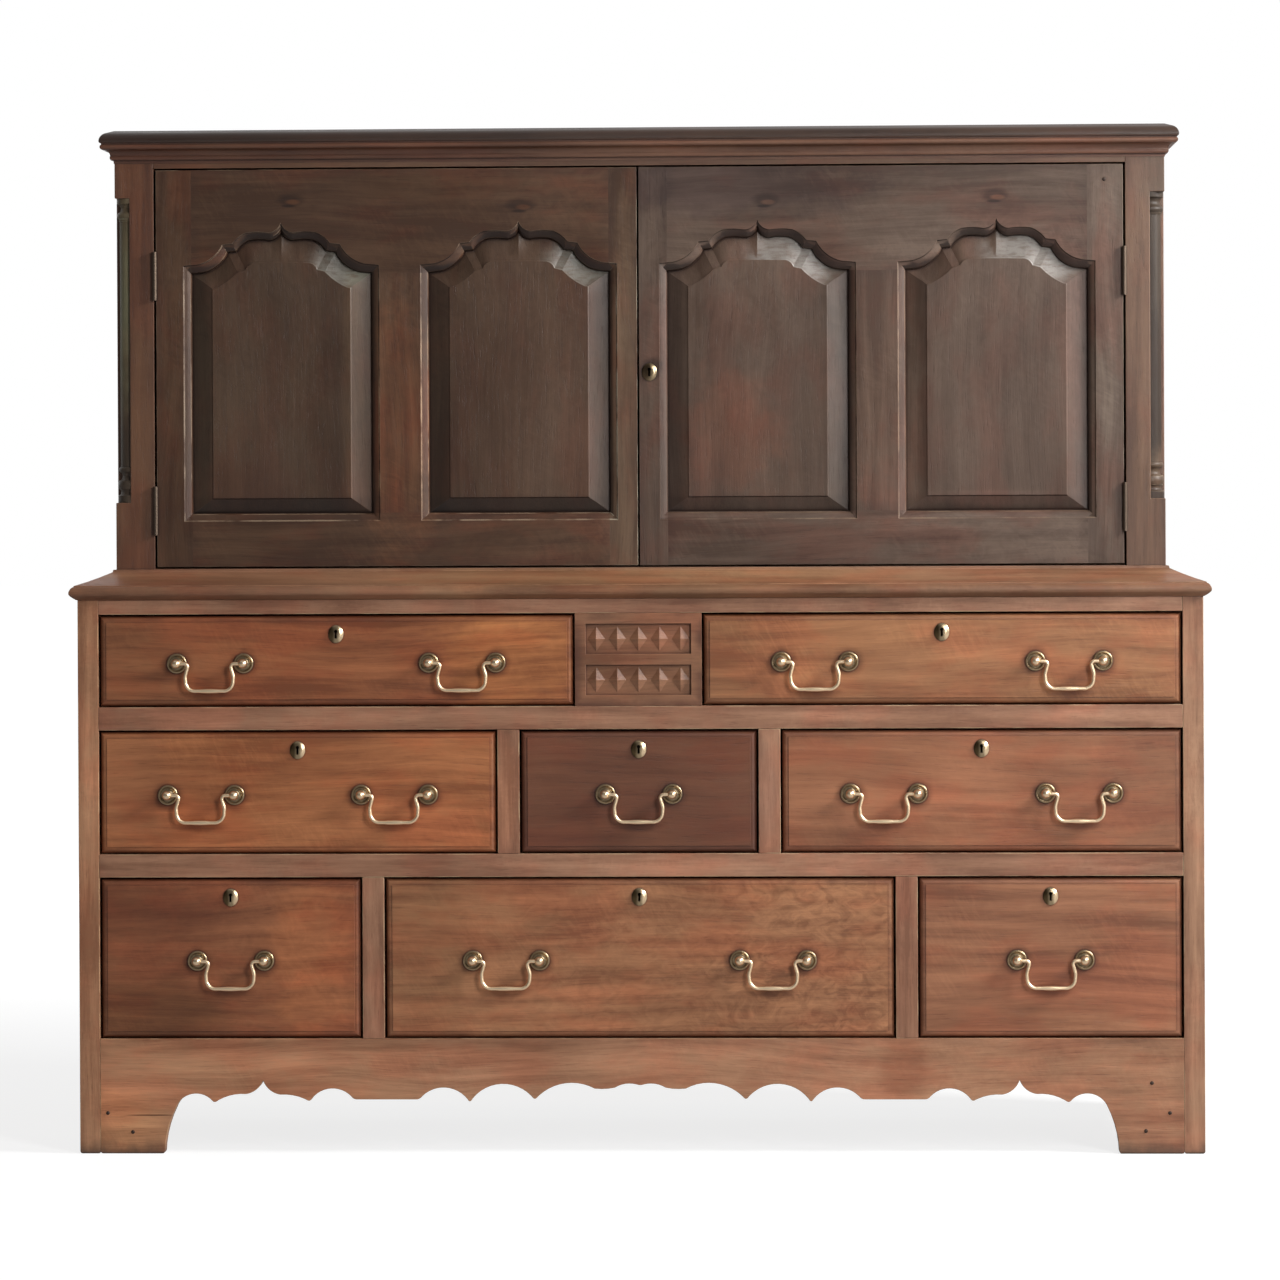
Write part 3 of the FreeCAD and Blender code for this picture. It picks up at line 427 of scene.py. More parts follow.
def oak(name, tone, streak=2.3, ray=0.12, mottle=0.15, patch=1.5, blush=0.55, dirt_and_shade=0.35, reach=0.02,
        corner=0.5, rub=0.5, bare=None, roughness=0.44, shine=0.5):
    """Waxed oak of one tone. Its pale parts are yellower than the tone and its deep parts redder. Where it is
    rubbed, bare wood shows."""
    material, tree, shader = new_finish(name)
    sockets = {"Pale": scaled(tone, pale_tint), "Deep": scaled(tone, deep_tint)}
    sockets |= {"Blush": blush_tint, "Blush share": blush}
    sockets |= {"Streak": streak, "Ray": ray, "Mottle": mottle, "Patch": patch}
    grain = put(tree, "Group", sockets, node_tree=grain_group).outputs
    sockets = {"Color": grain["Color"], "Dirt and shade": scaled(tone, dirt_and_shade_tint), "Edge dirt and shade share": dirt_and_shade}
    sockets |= {"Edge dirt and shade reach": reach, "Corner share": corner, "Rub share": rub, "Roughness": roughness}
    sockets |= {"Rub": bare + (1.0,) if bare else scaled(tone, bare_tint)}
    handling = put(tree, "Group", sockets, node_tree=handling_group).outputs
    sockets = {"Strength": pore_strength, "Distance": pore_depth, "Height": grain["Height"]}
    relief = put(tree, "Bump", sockets).outputs
    tree.links.new(handling["Color"], shader.inputs["Base Color"])
    tree.links.new(handling["Roughness"], shader.inputs["Roughness"])
    tree.links.new(relief["Normal"], shader.inputs["Normal"])
    shader.inputs["Specular IOR Level"].default_value = shine
    return material


def stained(material, share, colour, blend="MIX"):
    """Lays a colour over a finish, or tints the finish with it, as far as the share says."""
    tree = material.node_tree
    coloured = tree.nodes["Principled BSDF"].inputs["Base Color"]
    below = coloured.links[0].from_socket
    tree.links.new(mixed(tree, share, below, colour + (1.0,), blend), coloured)


def ragged_spot():
    """A spot with a ragged edge: whole round its middle and nothing past its reach."""
    inputs = {"Middle": "Vector", "Reach": "Vector", "Ragged": "Float"}
    tree, given, asked = node_group("ragged_spot", inputs, {"Share": "Float"})
    place = place_of(tree)
    away = vectors(tree, "DIVIDE", vectors(tree, "SUBTRACT", place, given["Middle"]), given["Reach"])
    far = vectors(tree, "LENGTH", away, answer="Value")
    level = nudged(tree, far, noise(tree, place, (22.0, 22.0, 30.0), 4.0, 0.6), given["Ragged"])
    tree.links.new(ramp(tree, level, 0.4, 1.0, 1.0, 0.0), asked["Share"])
    return tree


spot_group = ragged_spot()
spot_depth = 10.0


def spot_share(tree, x, z, width, height, ragged):
    """How much of a spot there is at a point. Its middle and its reach are given across and up the front."""
    sockets = {"Middle": (x, 0.0, z), "Reach": (width, spot_depth, height), "Ragged": ragged}
    return put(tree, "Group", sockets, node_tree=spot_group).outputs["Share"]


def spotted(material, x, z, width, height, tint, ragged=1.0):
    """Tints one place of the front of a piece."""
    stained(material, spot_share(material.node_tree, x, z, width, height, ragged), tint, "MULTIPLY")


def marked(material, marks, x=0.0, z=0.0):
    """Tints all the places in a table of marks. A mark gives its middle, measured from x and z, how far it
    reaches across and up, its tint, and how ragged its edge is where that isn't left to the spot."""
    for away_x, away_z, *rest in marks.values():
        spotted(material, x + away_x, z + away_z, *rest)


dirt_reach = 0.05
dirt_colour = (0.06, 0.042, 0.03)


def floor_dirt(material):
    """Dark dirt from the floor on the lowest few fingers of a foot."""
    tree = material.node_tree
    place = place_of(tree)
    height = along(tree, place, "Z")
    uneven = noise(tree, place, (30.0, 30.0, 18.0), 4.0, 0.6)
    level = maths(tree, "MULTIPLY_ADD", uneven, -dirt_reach, height)
    stained(material, ramp(tree, level, -0.03, 0.005, 0.7, 0.0), dirt_colour)


side_bare = (0.52, 0.36, 0.21)
# The left side plank is lifted with painted light.
side_marks = {"painted_light_left_side": (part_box("lower_sides")[0].x, 0.45, 0.5, 0.9, (1.42, 1.36, 1.28), 0.6)}
side_oak = oak("side_oak", (0.369, 0.193, 0.109), streak=2.6, rub=0.8, bare=side_bare)
marked(side_oak, side_marks)
floor_dirt(side_oak)
settle(joinery("lower_sides", side_arris, worn_foot), "lower_sides", side_oak)

# Rails and muntins of the lower stage. Oak strips flush with the sides, tenoned together and pegged,
# which frame the eight drawers. Their edges are rubbed where drawers and hands have passed.

rail_arris = 0.0012
frame_marks = {
    "pale_left_muntin": (-0.2014, 0.542, 0.03, 0.1, (1.2, 1.3, 1.28), 0.2),
    "dull_right_muntin": (0.1866, 0.542, 0.03, 0.1, (0.85, 0.96, 1.04), 0.2),
    "red_low_muntin": (0.3947, 0.29, 0.03, 0.14, (0.95, 0.88, 0.87), 0.2),
}
frame_oak = oak("frame_oak", (0.379, 0.190, 0.111), rub=0.8, bare=side_bare)
marked(frame_oak, frame_marks)
for node in ["lower_rails", "lower_muntins"]:
    settle(joinery(node, rail_arris), node, frame_oak)

# Tablet between the top drawers. A short oak board with two sunk panels, each with a row of plain
# lozenges left standing by the carver. It is let in between the two rails.

tablet_arris = 0.0004
# The sunk grounds and the lozenges get strong painted shade, with some dirt, in their corners and towards their
# edges.
tablet_oak = oak("tablet_oak", (0.270, 0.124, 0.064), dirt_and_shade=0.85, corner=0.85)
settle(joinery("tablet_board", tablet_arris), "tablet_board", tablet_oak, crisp=10)

# Apron. One oak board under the lowest drawers, sawn below in a row of scallops, with a bracket foot
# at each end. It is nailed to the sides from the front.

cusp_wear = 0.004
cusp_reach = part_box("apron")[1].z * 0.7
# The apron's left half is tinted paler.
apron_marks = {
    "paler_left_half": (-0.9, 0.1, 0.75, 0.5, (1.17, 1.16, 1.12), 0.3),
    "pale_left_foot": (-0.8, 0.04, 0.11, 0.08, (1.25, 1.22, 1.12), 0.5),
    "dull_upper_right": (0.8, 0.13, 0.5, 0.1, (0.88, 0.87, 0.85), 0.3),
    "stain_under_muntin": (0.395, 0.13, 0.05, 0.07, (0.84, 0.74, 0.7), 0.5),
    "split_in_left_foot": (-0.736, 0.058, 0.05, 0.0016, (0.3, 0.25, 0.22), 0.1),
}


def worn_scallops(board):
    """Rounds the points that hang down between the scallops, and the soles of the feet."""
    points = []
    for edge in board.edges:
        start, end = (vert.co for vert in edge.verts)
        through = abs(start.x - end.x) + abs(start.z - end.z) < weld_reach
        if through and weld_reach < start.z < cusp_reach and edge.calc_face_angle_signed() > sharp_angle:
            points.append(edge)
    rounded(board, points, cusp_wear, segments=3)
    worn_foot(board)


apron_oak = oak("apron_oak", (0.399, 0.195, 0.106), rub=0.7, bare=side_bare)
marked(apron_oak, apron_marks)
floor_dirt(apron_oak)
settle(joinery("apron", rail_arris, worn_scallops), "apron", apron_oak)

# Nails. Forged iron nails with low faceted heads, driven through the ends of the apron into the sides,
# and one through the top corner of the right door. They are black, and stand a hair proud.

nail_radius = 0.0032
nail_tip = nail_radius * 0.45
nail_height = 0.0011
nail_easing = nail_height * 0.2
nail_sides = 7
nail_black = (0.022, 0.016, 0.013, 1.0)
nail_rust = (0.07, 0.036, 0.022, 1.0)
nail_iron, tree, shader = new_finish("nail_iron")
rust = ramp(tree, noise(tree, place_of(tree), (420.0, 420.0, 420.0), 3.0, 0.6), 0.35, 0.7)
tree.links.new(mixed(tree, rust, nail_black, nail_rust), shader.inputs["Base Color"])
tree.links.new(ramp(tree, rust, 0.0, 1.0, 0.45, 0.8), shader.inputs["Roughness"])
shader.inputs["Metallic"].default_value = 0.4


def nails(name, body, front, places):
    """Nail heads of one board, at the places given across its front."""
    heads = bmesh.new()
    for x, z in places:
        facing = Matrix.Translation((x, front - nail_height / 2, z)) @ Matrix.Rotation(math.radians(90), 4, "X")
        turned = facing @ Matrix.Rotation(chance.random(), 4, "Z")
        bmesh.ops.create_cone(
            heads,
            segments=nail_sides,
            radius1=nail_radius,
            radius2=nail_tip,
            depth=nail_height,
            cap_ends=True,
            matrix=turned,
        )
    rounded(heads, heads.edges[:], nail_easing, segments=1)
    mesh = as_mesh(heads, name)
    mesh.materials.append(nail_iron)
    piece = placed(name, mesh)
    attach(piece, body)


apron_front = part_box("apron")[0].y
apron_nails = [(-0.7632, 0.0326), (-0.8008, 0.0612), (0.7546, 0.0344), (0.7904, 0.0613), (0.7638, 0.106)]
nails("apron_nails", body_of["apron"], apron_front, apron_nails)
nails("door_nail", body_of["right_door_frame"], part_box("right_door_frame")[0].y, [(0.7007, 1.457)])

# Runners, guides and stops. Plain strips of oak inside the case that carry the drawers. They are nailed
# to the sides and rails, were never polished, and have gone grey-brown with dust.

lining_oak = oak("lining_oak", (0.36, 0.235, 0.135), rub=0.2, roughness=0.7, blush=0.1)
settle(joinery("drawer_runners", rail_arris), "drawer_runners", lining_oak)

# Back. Upright oak boards, left rough from the saw and never polished. They stand side by side behind
# both stages, and are nailed into the rebates of the sides.

back_oak = oak("back_oak", (0.22, 0.150, 0.095), streak=1.7, rub=0.25, roughness=0.75)
settle(joinery("back_boards", rail_arris, flush=False), "back_boards", back_oak)

# Waist. The moulded top board of the lower stage, and the sloping moulding, mitred at the front corners,
# that holds the foot of the upper stage.

waist_marks = {
    "rubbed_middle": (0.0, 0.86, 0.45, 0.5, (1.12, 1.14, 1.06), 0.3),
    "dull_left_end": (-0.85, 0.86, 0.5, 0.5, (0.93, 0.87, 0.86), 0.3),
}
waist_oak = oak("waist_oak", (0.240, 0.119, 0.063), streak=1.6)
marked(waist_oak, waist_marks)
settle(joinery("waist", rail_arris), "waist", waist_oak)

# Posts, sides and rails of the upper stage. Dark polished oak, with the front posts rebated at the
# outer corner for the columns. The sill and the head rail are tenoned between the posts.

post_marks = {
    "dark_left_post": (-0.85, 1.2, 0.5, 0.9, (0.85, 0.72, 0.62), 0.3),
    "grey_right_head": (0.8, 1.47, 0.1, 0.08, (0.76, 0.84, 0.88)),
}
post_oak = oak("post_oak", (0.146, 0.075, 0.041), blush=0.6, shine=0.6)
marked(post_oak, post_marks)
for node in ["upper_stiles", "upper_sides", "upper_rails"]:
    settle(joinery(node, rail_arris), node, post_oak)

# Boards of the upper stage: the floor, the shelf on its bearers and the top. They are plain oak, nailed
# between the sides, and were never polished.

settle(joinery("upper_boards", rail_arris), "upper_boards", lining_oak)

# Quarter columns. Turned oak, split in four, with rings above and below the shaft. One stands in the
# rebate of each post, glued there, and nearly black with old polish.

column_arris = 0.0003
column_bare = (0.34, 0.29, 0.22)
# The right column is darkened with painted shade, against the raking lamp on its right.
column_marks = {
    "painted_shade_right_column": (0.85, 1.2, 0.5, 0.9, (0.55, 0.5, 0.46), 0.2),
    "pale_right_foot": (0.79, 1.02, 0.06, 0.04, (2.6, 2.7, 2.7), 1.3),
    "pale_left_shaft": (-0.81, 1.31, 0.08, 0.27, (2.7, 3.3, 2.8), 0.4),
}
column_oak = oak("column_oak", (0.082, 0.060, 0.042), streak=2.2, patch=1.6, rub=0.95, bare=column_bare,
                 shine=0.3)
marked(column_oak, column_marks)
settle(joinery("quarter_columns", column_arris), "quarter_columns", column_oak)

# Cornice. An oak moulding run with planes, mitred at the front corners and nailed to the head of the case.
# Its upper round, above the bead, is tinted darker and greyer.

cornice_arris = 0.0006
cornice_bare = (0.21, 0.13, 0.095)
cornice_marks = {"dark_left_half": (-0.9, 1.5, 0.9, 0.6, (0.62, 0.55, 0.5), 0.3)}
upper_round_tint = (0.16, 0.18, 0.19)
# Strong painted shade, with some dirt, in the hollows of the moulding and under its beads.
cornice_oak = oak("cornice_oak", (0.154, 0.070, 0.039), streak=2.6, dirt_and_shade=0.5, reach=0.004, corner=0.95,
                  rub=0.9, bare=cornice_bare, shine=0.6)
marked(cornice_oak, cornice_marks)
cornice_low, cornice_high = (corner.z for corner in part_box("cornice"))
tree = cornice_oak.node_tree
above = maths(tree, "SUBTRACT", along(tree, place_of(tree), "Z"), cornice_low)
share = maths(tree, "DIVIDE", above, cornice_high - cornice_low)
stained(cornice_oak, ramp(tree, share, 0.58, 0.66, 0.0, 0.9), upper_round_tint, "MULTIPLY")
settle(joinery("cornice", cornice_arris), "cornice", cornice_oak)

# Doors. A frame of two stiles, two rails and a muntin, tenoned and pegged, with an ovolo worked on the
# inner edges and the top rail sawn to the arches. Two fielded panels lie loose in its grooves.

door_arris = 0.0015
panel_arris = 0.0007
worn_bare = (0.27, 0.19, 0.125)
door_tones = {"left": (0.083, 0.041, 0.0215), "right": (0.105, 0.067, 0.047)}
door_rubs = {"left": 0.9, "right": 0.45}
frame_shade = (0.1, 0.28)
panel_shades = {"left": (0.14, 0.46), "right": (0.3, 0.55)}
panel_tones = {"left": (0.074, 0.042, 0.025), "right": (0.100, 0.062, 0.043)}
plug_places = {"left": [(-0.5248, 1.434), (-0.1771, 1.4241)], "right": [(0.1921, 1.4292), (0.5374, 1.4343)]}
# Each plug is a dark lid of end grain, with a painted highlight at its lower right and a painted shadow line
# under it.
plug_marks = {
    "dark_lid": (0.0, 0.0, 0.028, 0.013, (0.5, 0.44, 0.4), 0.5),
    "painted_highlight_end": (0.004, -0.003, 0.014, 0.005, (2.6, 2.4, 2.2), 0.4),
    "painted_shadow_lip": (-0.002, -0.009, 0.014, 0.003, (0.4, 0.33, 0.3), 0.4),
}
# Places and colours of the painted glints on the arches of each door's panels.
glint_places = {
    "left": [(-0.439, 1.335, 0.075, 0.05), (-0.08, 1.335, 0.08, 0.05)],
    "right": [(0.24, 1.345, 0.095, 0.06), (0.6, 1.345, 0.1, 0.06)],
}
glint_colours = {"left": (0.16, 0.148, 0.122), "right": (0.25, 0.225, 0.2)}
glint_raggedness = 0.3
keyhole_x = 0.0191
keyhole_z = 1.1775
door_marks = {
    "left": {
        "pale_muntin": (-0.36, 1.08, 0.07, 0.25, (1.6, 1.4, 1.25)),
        "pale_meeting_stile": (-0.02, 1.1, 0.05, 0.45, (1.62, 1.95, 2.2), 0.7),
    },
    "right": {
        "dark_top_rail": (0.14, 1.45, 0.28, 0.06, (0.63, 0.58, 0.63)),
        "pale_muntin": (0.36, 1.15, 0.07, 0.25, (1.15, 1.05, 1.0)),
        "dull_meeting_stile": (0.02, 1.05, 0.05, 0.35, (0.82, 0.78, 0.76), 0.4),
        "dirt_at_keyhole": (keyhole_x, keyhole_z, 0.02, 0.022, (0.4, 0.36, 0.34)),
        "pale_hinge_stile": (0.73, 1.12, 0.05, 0.5, (1.3, 1.4, 1.45), 0.4),
    },
}
# The tints on the slopes and on the sill are painted light and shade, which make a slope paler or darker than
# the lamps leave it.
panel_marks = {
    "left": {
        "painted_sheen_right_slope": (-0.419, 1.13, 0.035, 0.4, (1.55, 1.6, 1.5), 0.3),
        "pale_field": (-0.179, 1.15, 0.13, 0.3, (1.15, 1.09, 1.1), 0.4),
        "painted_shade_outer_slope": (-0.664, 1.15, 0.024, 0.4, (0.66, 0.68, 0.64), 0.3),
        "painted_shade_inner_slope": (-0.306, 1.15, 0.024, 0.4, (0.72, 0.7, 0.66), 0.3),
    },
    "right": {
        "red_field": (0.14, 1.08, 0.09, 0.12, (1.35, 1.05, 0.95)),
        "painted_shade_left_slope": (0.052, 1.15, 0.024, 0.4, (0.68, 0.66, 0.66), 0.3),
        "painted_shade_right_slope": (0.297, 1.15, 0.03, 0.4, (0.78, 0.79, 0.75), 0.3),
        "painted_light_left_slope": (0.4, 1.15, 0.03, 0.4, (1.5, 1.6, 1.65), 0.3),
        "painted_light_sill": (0.5374, 0.98, 0.15, 0.016, (1.3, 1.25, 1.3), 0.2),
    },
}
sill_dust_and_shade_tint = (0.6, 0.56, 0.53)
shade_facing = (-0.4, 0.0, -0.92)
underside_shade_tint = (0.2, 0.16, 0.14)
glint_facing = (0.55, 0.0, 0.83)


def darkened_sill(material):
    """Darkens the lower slope of each panel: dust that has gathered there, and painted shade on a slope that
    faces down.
    """
    tree = material.node_tree
    above = along(tree, vectors(tree, "ADD", own(tree, "grain"), own(tree, "half")), "X")
    stained(material, ramp(tree, above, 0.022, 0.036, 0.6, 0.0), sill_dust_and_shade_tint, "MULTIPLY")


def painted_underside_shade(material, low, high):
    """Painted shade: darkens the faces of a moulding that look down or to the left, away from the lamps."""
    tree = material.node_tree
    facing = put(tree, "TexCoord").outputs["Normal"]
    away = vectors(tree, "DOT_PRODUCT", facing, shade_facing, answer="Value")
    stained(material, ramp(tree, away, low, high, 0.0, 0.88), underside_shade_tint, "MULTIPLY")


def painted_glints(material, x, z, width, height, colour):
    """Painted glints: pale streaks on the slopes round an arch that look up and to the right, where the lamps'
    highlights fall.
    """
    tree = material.node_tree
    places = put(tree, "TexCoord").outputs
    up = vectors(tree, "DOT_PRODUCT", places["Normal"], glint_facing, answer="Value")
    streaks = noise(tree, places["Object"], (60.0, 60.0, 220.0), 3.0, 0.6)
    share = maths(tree, "MULTIPLY", ramp(tree, up, 0.12, 0.2), ramp(tree, streaks, 0.3, 0.62, 0.4, 0.9))
    near = spot_share(tree, x, z, width, height, glint_raggedness)
    stained(material, maths(tree, "MULTIPLY", share, near), colour)


for side, tone in door_tones.items():
    door_oak = oak(side + "_door_oak", tone, ray=0.25, mottle=0.35, patch=2.2, blush=0.8, corner=0.95,
                   rub=door_rubs[side], bare=worn_bare, shine=0.42)
    painted_underside_shade(door_oak, *frame_shade)
    for x, z in plug_places[side]:
        marked(door_oak, plug_marks, x, z)
    marked(door_oak, door_marks[side])
    panel_oak = oak(side + "_panel_oak", panel_tones[side], streak=1.2, mottle=0.35, patch=2.2, corner=0.95,
                    rub=0.12, roughness=0.42, shine=0.42)
    painted_underside_shade(panel_oak, *panel_shades[side])
    darkened_sill(panel_oak)
    for place in glint_places[side]:
        painted_glints(panel_oak, *place, glint_colours[side])
    marked(panel_oak, panel_marks[side])
    settle(joinery(side + "_door_frame", door_arris), side + "_door_frame", door_oak)
    settle(joinery(side + "_door_panels", panel_arris), side + "_door_panels", panel_oak, crisp=14)

# Ironwork: butt hinges on the posts and doors, and the sliding bolt of the right door's lock.
# The leaves are let in flush, and the iron is brown-black and a little rusty.

hollow_width = 0.008
metal_unevenness = 0.9
dull_roughness = 0.22


def smooth_copy(node):
    """A node's own shape, welded so that its round faces shade smoothly."""
    shape = bmesh.new()
    shape.from_mesh(frame["nodes"][node].data)
    bmesh.ops.remove_doubles(shape, verts=shape.verts, dist=weld_reach)
    return as_mesh(shape, node + "_smooth")


def old_metal(name, bright, dull, dull_metallic, roughness, wear):
    """Cast or forged metal, bright where it is handled and dull in its hollows."""
    material, tree, shader = new_finish(name)
    hollow = put(tree, "AmbientOcclusion", {"Distance": hollow_width}, samples=6).outputs["AO"]
    spots = noise(tree, place_of(tree), (140.0, 140.0, 140.0), 4.0, 0.65)
    uneven = nudged(tree, maths(tree, "ADD", hollow, wear), spots, metal_unevenness)
    open_part = ramp(tree, uneven, 0.45, 0.95)
    gloss = ramp(tree, open_part, 0.0, 1.0, roughness + dull_roughness, roughness)
    tree.links.new(mixed(tree, open_part, dull + (1.0,), bright + (1.0,)), shader.inputs["Base Color"])
    tree.links.new(ramp(tree, open_part, 0.0, 1.0, dull_metallic, 1.0), shader.inputs["Metallic"])
    tree.links.new(gloss, shader.inputs["Roughness"])
    return material


iron = old_metal("hinge_iron", bright=(0.12, 0.088, 0.066), dull=(0.045, 0.03, 0.022), dull_metallic=0.4,
                 roughness=0.5, wear=0.0)
for node in ["frame_hinge_leaves", "left_door_hinges", "right_door_hinges", "door_lock_bolt"]:
    settle(smooth_copy(node), node, iron)

# Brass: the turned posts on their rosettes, the keyhole plates and the locks. Cast and turned, with the
# heads of the posts rubbed bright and the rosettes behind them dark green-brown. The keyhole plates carry
# painted shade on their left edge and a painted highlight on their right.

post_brass = old_metal("post_brass", bright=(0.36, 0.27, 0.165), dull=(0.075, 0.054, 0.03), dull_metallic=0.6,
                       roughness=0.3, wear=-0.02)
handled_brass = (0.84, 0.63, 0.41)
tree = post_brass.node_tree
place = place_of(tree)
forward = maths(tree, "SUBTRACT", apron_front, along(tree, place, "Y"))
spots = noise(tree, place, (160.0, 160.0, 160.0), 3.0, 0.6)
handled = ramp(tree, maths(tree, "MULTIPLY_ADD", spots, 0.004, forward), 0.007, 0.013)
stained(post_brass, handled, handled_brass)
drawers = [body.removesuffix("_drawer") for body in frame["bodies"] if body.endswith("_drawer")]
plate_drop = 0.03
plate_half = 0.009
plate_marks = {
    "painted_shade_left_edge": (-plate_half, 0.0, plate_half, 0.03, (0.3, 0.27, 0.22), 0.3),
    "painted_highlight_right_edge": (plate_half, 0.0, plate_half * 0.8, 0.02, (2.2, 2.2, 2.3), 0.3),
}
door_plate_marks = {"painted_shade_left_edge": (-plate_half, 0.0, plate_half * 1.5, 0.03, (0.28, 0.25, 0.24), 0.4)}
for drawer in drawers:
    low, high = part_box(drawer + "_drawer_front")
    marked(post_brass, plate_marks, (low.x + high.x) / 2, high.z - plate_drop)
marked(post_brass, door_plate_marks, keyhole_x, keyhole_z)
settle(smooth_copy("right_door_lock"), "right_door_lock", post_brass)
for drawer in drawers:
    settle(smooth_copy(drawer + "_drawer_brass"), drawer + "_drawer_brass", post_brass)

# Bails. Each is a cast brass rod bent to a swan neck, thicker at the grip, with its ends turned out
# into the posts, where it swings. Fingers keep it brighter than the rest.

bails = [node for node in frame["nodes"] if node.endswith("_bail")]
bail_brass = old_metal("bail_brass", bright=(0.92, 0.71, 0.47), dull=(0.38, 0.27, 0.15), dull_metallic=0.9,
                       roughness=0.38, wear=0.1)
for bail in bails:
    settle(smooth_copy(bail), bail, bail_brass)

# Drawers. Each front is one oak board with a thumb-moulded edge, and each was cut from another plank.
# The box behind it is thinner oak, nailed, and left unpolished.

front_arris = 0.0006
front_tones = {
    "top_left": (0.305, 0.103, 0.040),
    "top_right": (0.345, 0.149, 0.064),
    "middle_left": (0.419, 0.153, 0.058),
    "middle_centre": (0.160, 0.059, 0.029),
    "middle_right": (0.305, 0.122, 0.058),
    "bottom_left": (0.281, 0.101, 0.043),
    "bottom_centre": (0.352, 0.152, 0.069),
    "bottom_right": (0.295, 0.120, 0.058),
}
figures = {
    "top_left": {"ray": 0.15, "streak": 2.8},
    "top_right": {"ray": 0.25},
    "middle_left": {"ray": 0.2},
    "middle_centre": {"ray": 0.05, "streak": 1.2, "mottle": 0.05},
    "middle_right": {"ray": 0.1, "streak": 1.7},
    "bottom_left": {"ray": 0.15, "mottle": 0.3},
    "bottom_centre": {"ray": 0.15, "mottle": 0.7},
    "bottom_right": {"ray": 0.2},
}

# Sun, polish and spills have marked some fronts, each in its own way.
front_marks = {
    "top_left": {
        "dull_left_end": (-0.76, 0.74, 0.13, 0.12, (0.82, 0.9, 0.95)),
        "golden_right_end": (-0.19, 0.74, 0.14, 0.12, (1.42, 1.52, 1.32)),
    },
    "middle_left": {"dull_left_end": (-0.76, 0.56, 0.09, 0.14, (0.82, 0.84, 0.9))},
    "middle_right": {
        "dark_right_end": (0.78, 0.56, 0.12, 0.14, (0.78, 0.78, 0.78), 0.6),
        "pale_middle": (0.51, 0.52, 0.14, 0.1, (1.17, 1.16, 1.17), 0.6),
    },
    "bottom_left": {
        "dark_upper_left": (-0.76, 0.36, 0.20, 0.07, (0.64, 0.57, 0.54), 0.6),
        "dull_lower_left": (-0.74, 0.21, 0.16, 0.07, (0.8, 0.82, 0.74), 0.4),
        "pale_right_end": (-0.49, 0.30, 0.09, 0.16, (1.35, 1.3, 1.2)),
    },
    "bottom_centre": {"dull_left_end": (-0.31, 0.30, 0.09, 0.16, (0.85, 0.88, 0.86))},
}
front_oaks = {}
# Each front darkens towards its thumb-moulded edges and in the gaps round it: partly dirt, partly painted
# shade.
for drawer, tone in front_tones.items():
    front_oaks[drawer] = oak(drawer + "_oak", tone, dirt_and_shade=0.7, reach=0.013, corner=0.8, **figures[drawer])
    marked(front_oaks[drawer], front_marks.get(drawer, {}))

# Polish has dried to a dark ring round each rosette, deepened with painted shade, and a painted shadow lies on
# the wood under each grip.
post_reach = 0.05025
post_drop = 0.004
ring_reach = 0.027
grip_shadow_drop = 0.002
ring_marks = {
    "left_ring": (-post_reach, -post_drop, ring_reach, ring_reach, (0.46, 0.38, 0.32), 0.5),
    "right_ring": (post_reach, -post_drop, ring_reach, ring_reach, (0.46, 0.38, 0.32), 0.5),
}
grip_shadow_marks = {"painted_grip_shadow": (0.0, -grip_shadow_drop, 0.045, 0.013, (0.6, 0.52, 0.46), 0.6)}
for bail in bails:
    front_oak = next(front_oaks[drawer] for drawer in drawers if bail.startswith(drawer + "_"))
    low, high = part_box(bail)
    middle_x = (low.x + high.x) / 2
    marked(front_oak, ring_marks, middle_x, high.z)
    marked(front_oak, grip_shadow_marks, middle_x, low.z)
for drawer in drawers:
    front = drawer + "_drawer_front"
    box = drawer + "_drawer_box"
    settle(joinery(front, front_arris), front, front_oaks[drawer])
    settle(joinery(box, rail_arris), box, lining_oak)

# Floor, backdrop, lights and camera. A pale studio floor with white all round, a soft lamp high at the right
# in front, another that rakes from the right, a weak fill at the left and one behind. The camera stands where
# the photograph was taken.

floor_half = 40.0
floor_shape = bmesh.new()
bmesh.ops.create_grid(floor_shape, x_segments=1, y_segments=1, size=floor_half)
floor_mesh = as_mesh(floor_shape, "floor")
floor = placed("floor", floor_mesh)
floor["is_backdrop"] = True
floor_mirror = 0.3
floor_paint, tree, shader = new_finish("floor_paint")
tree.nodes.remove(shader)
rays = put(tree, "LightPath").outputs
mirrored = maths(tree, "MULTIPLY", rays["Is Glossy Ray"], floor_mirror)
seen = maths(tree, "MAXIMUM", rays["Is Camera Ray"], mirrored)
distance = vectors(tree, "LENGTH", place_of(tree), answer="Value")
matt = put(tree, "BsdfDiffuse", {"Color": (0.35, 0.35, 0.35, 1.0)})
shadowed = put(tree, "BsdfDiffuse", {"Color": (0.3, 0.3, 0.3, 1.0)})
paleness = ramp(tree, distance, 1.5, 5.0, 0.8, 1.0)
glow = put(tree, "Emission", {"Color": (1.0, 1.0, 1.0, 1.0), "Strength": paleness})
lifted = put(tree, "AddShader", {0: shadowed.outputs[0], 1: glow.outputs[0]})
floor_look = put(tree, "MixShader", {0: seen, 1: matt.outputs[0], 2: lifted.outputs[0]})
tree.links.new(floor_look.outputs[0], tree.nodes["Material Output"].inputs["Surface"])
floor_mesh.materials.append(floor_paint)

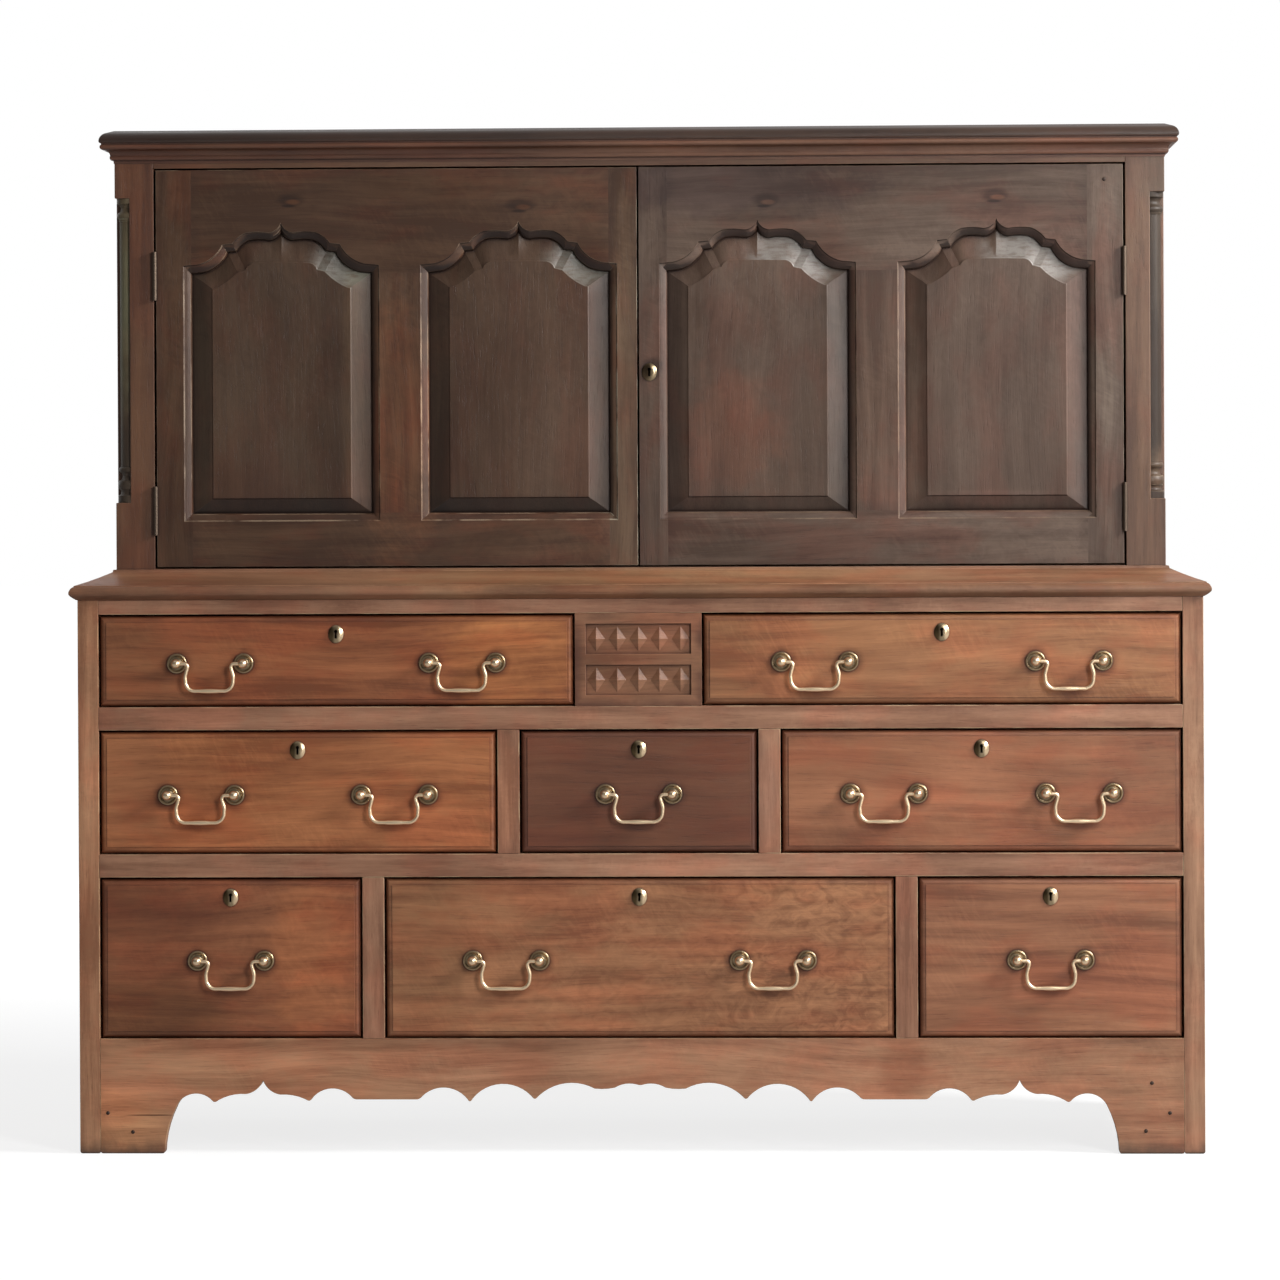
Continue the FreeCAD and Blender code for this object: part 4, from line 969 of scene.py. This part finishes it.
ambient = 0.085
world = bpy.data.worlds.new("studio")
bpy.context.scene.world = world
world.use_nodes = True
tree = world.node_tree
rays = put(tree, "LightPath").outputs
ways = put(tree, "SeparateXYZ", {0: put(tree, "TexCoord").outputs["Generated"]}).outputs
from_right = ramp(tree, ways["X"], 0.1, 0.75, 0.07, 0.6)
from_above = ramp(tree, ways["Z"], 0.35, 0.9, 0.0, 0.5)
from_behind = ramp(tree, ways["Y"], -0.1, 0.3)
bright_wall = maths(tree, "MAXIMUM", maths(tree, "MAXIMUM", from_right, from_above), from_behind)
mirrored = maths(tree, "MULTIPLY", rays["Is Glossy Ray"], bright_wall)
shown = maths(tree, "MAXIMUM", rays["Is Camera Ray"], rays["Is Transmission Ray"])
strength = maths(tree, "MAXIMUM", maths(tree, "MAXIMUM", shown, mirrored), ambient)
tree.links.new(strength, tree.nodes["Background"].inputs["Strength"])
tree.nodes["Background"].inputs["Color"].default_value = (1.0, 1.0, 1.0, 1.0)


def soft_lamp(name, place, aim, width, height, power):
    """A flat soft lamp, turned to a point of the object."""
    lamp = bpy.data.lights.new(name, "AREA")
    lamp.shape = "RECTANGLE"
    lamp.size = width
    lamp.size_y = height
    lamp.energy = power
    holder = placed(name, lamp)
    holder.location = place
    holder.rotation_euler = (Vector(aim) - Vector(place)).to_track_quat("-Z", "Y").to_euler()


soft_lamp("window_right", (2.15, -3.9, 2.3), aim=(0.1, -0.2, 1.1), width=0.9, height=2.6, power=98.0)
soft_lamp("window_side", (3.3, -1.1, 2.6), aim=(0.0, -0.2, 0.9), width=1.2, height=1.2, power=185.0)
soft_lamp("fill_left", (-3.0, -4.0, 1.8), aim=(0.0, -0.2, 0.8), width=2.5, height=2.5, power=3.0)
soft_lamp("fill_back", (-1.6, 4.6, 2.2), aim=(0.0, 0.2, 0.8), width=2.5, height=2.5, power=70.0)

camera_place = (0.2865, -7.76975, 1.0115)
camera_turn = math.radians(2.1596)
camera_tilt = math.radians(90 - 0.3853)
camera_roll = math.radians(-0.2701)
lens = bpy.data.cameras.new("photograph")
lens.sensor_width = 36.0
lens.lens = 141.11
lens.shift_y = -0.1
lens.clip_end = 100.0
camera = placed("photograph", lens)
turned = Matrix.Rotation(camera_turn, 4, "Z") @ Matrix.Rotation(camera_tilt, 4, "X")
turned = turned @ Matrix.Rotation(camera_roll, 4, "Z")
camera.matrix_world = Matrix.Translation(camera_place) @ turned
bpy.context.scene.camera = camera
bpy.context.scene.view_settings.view_transform = "Standard"

bpy.context.view_layer.update()
low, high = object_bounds()
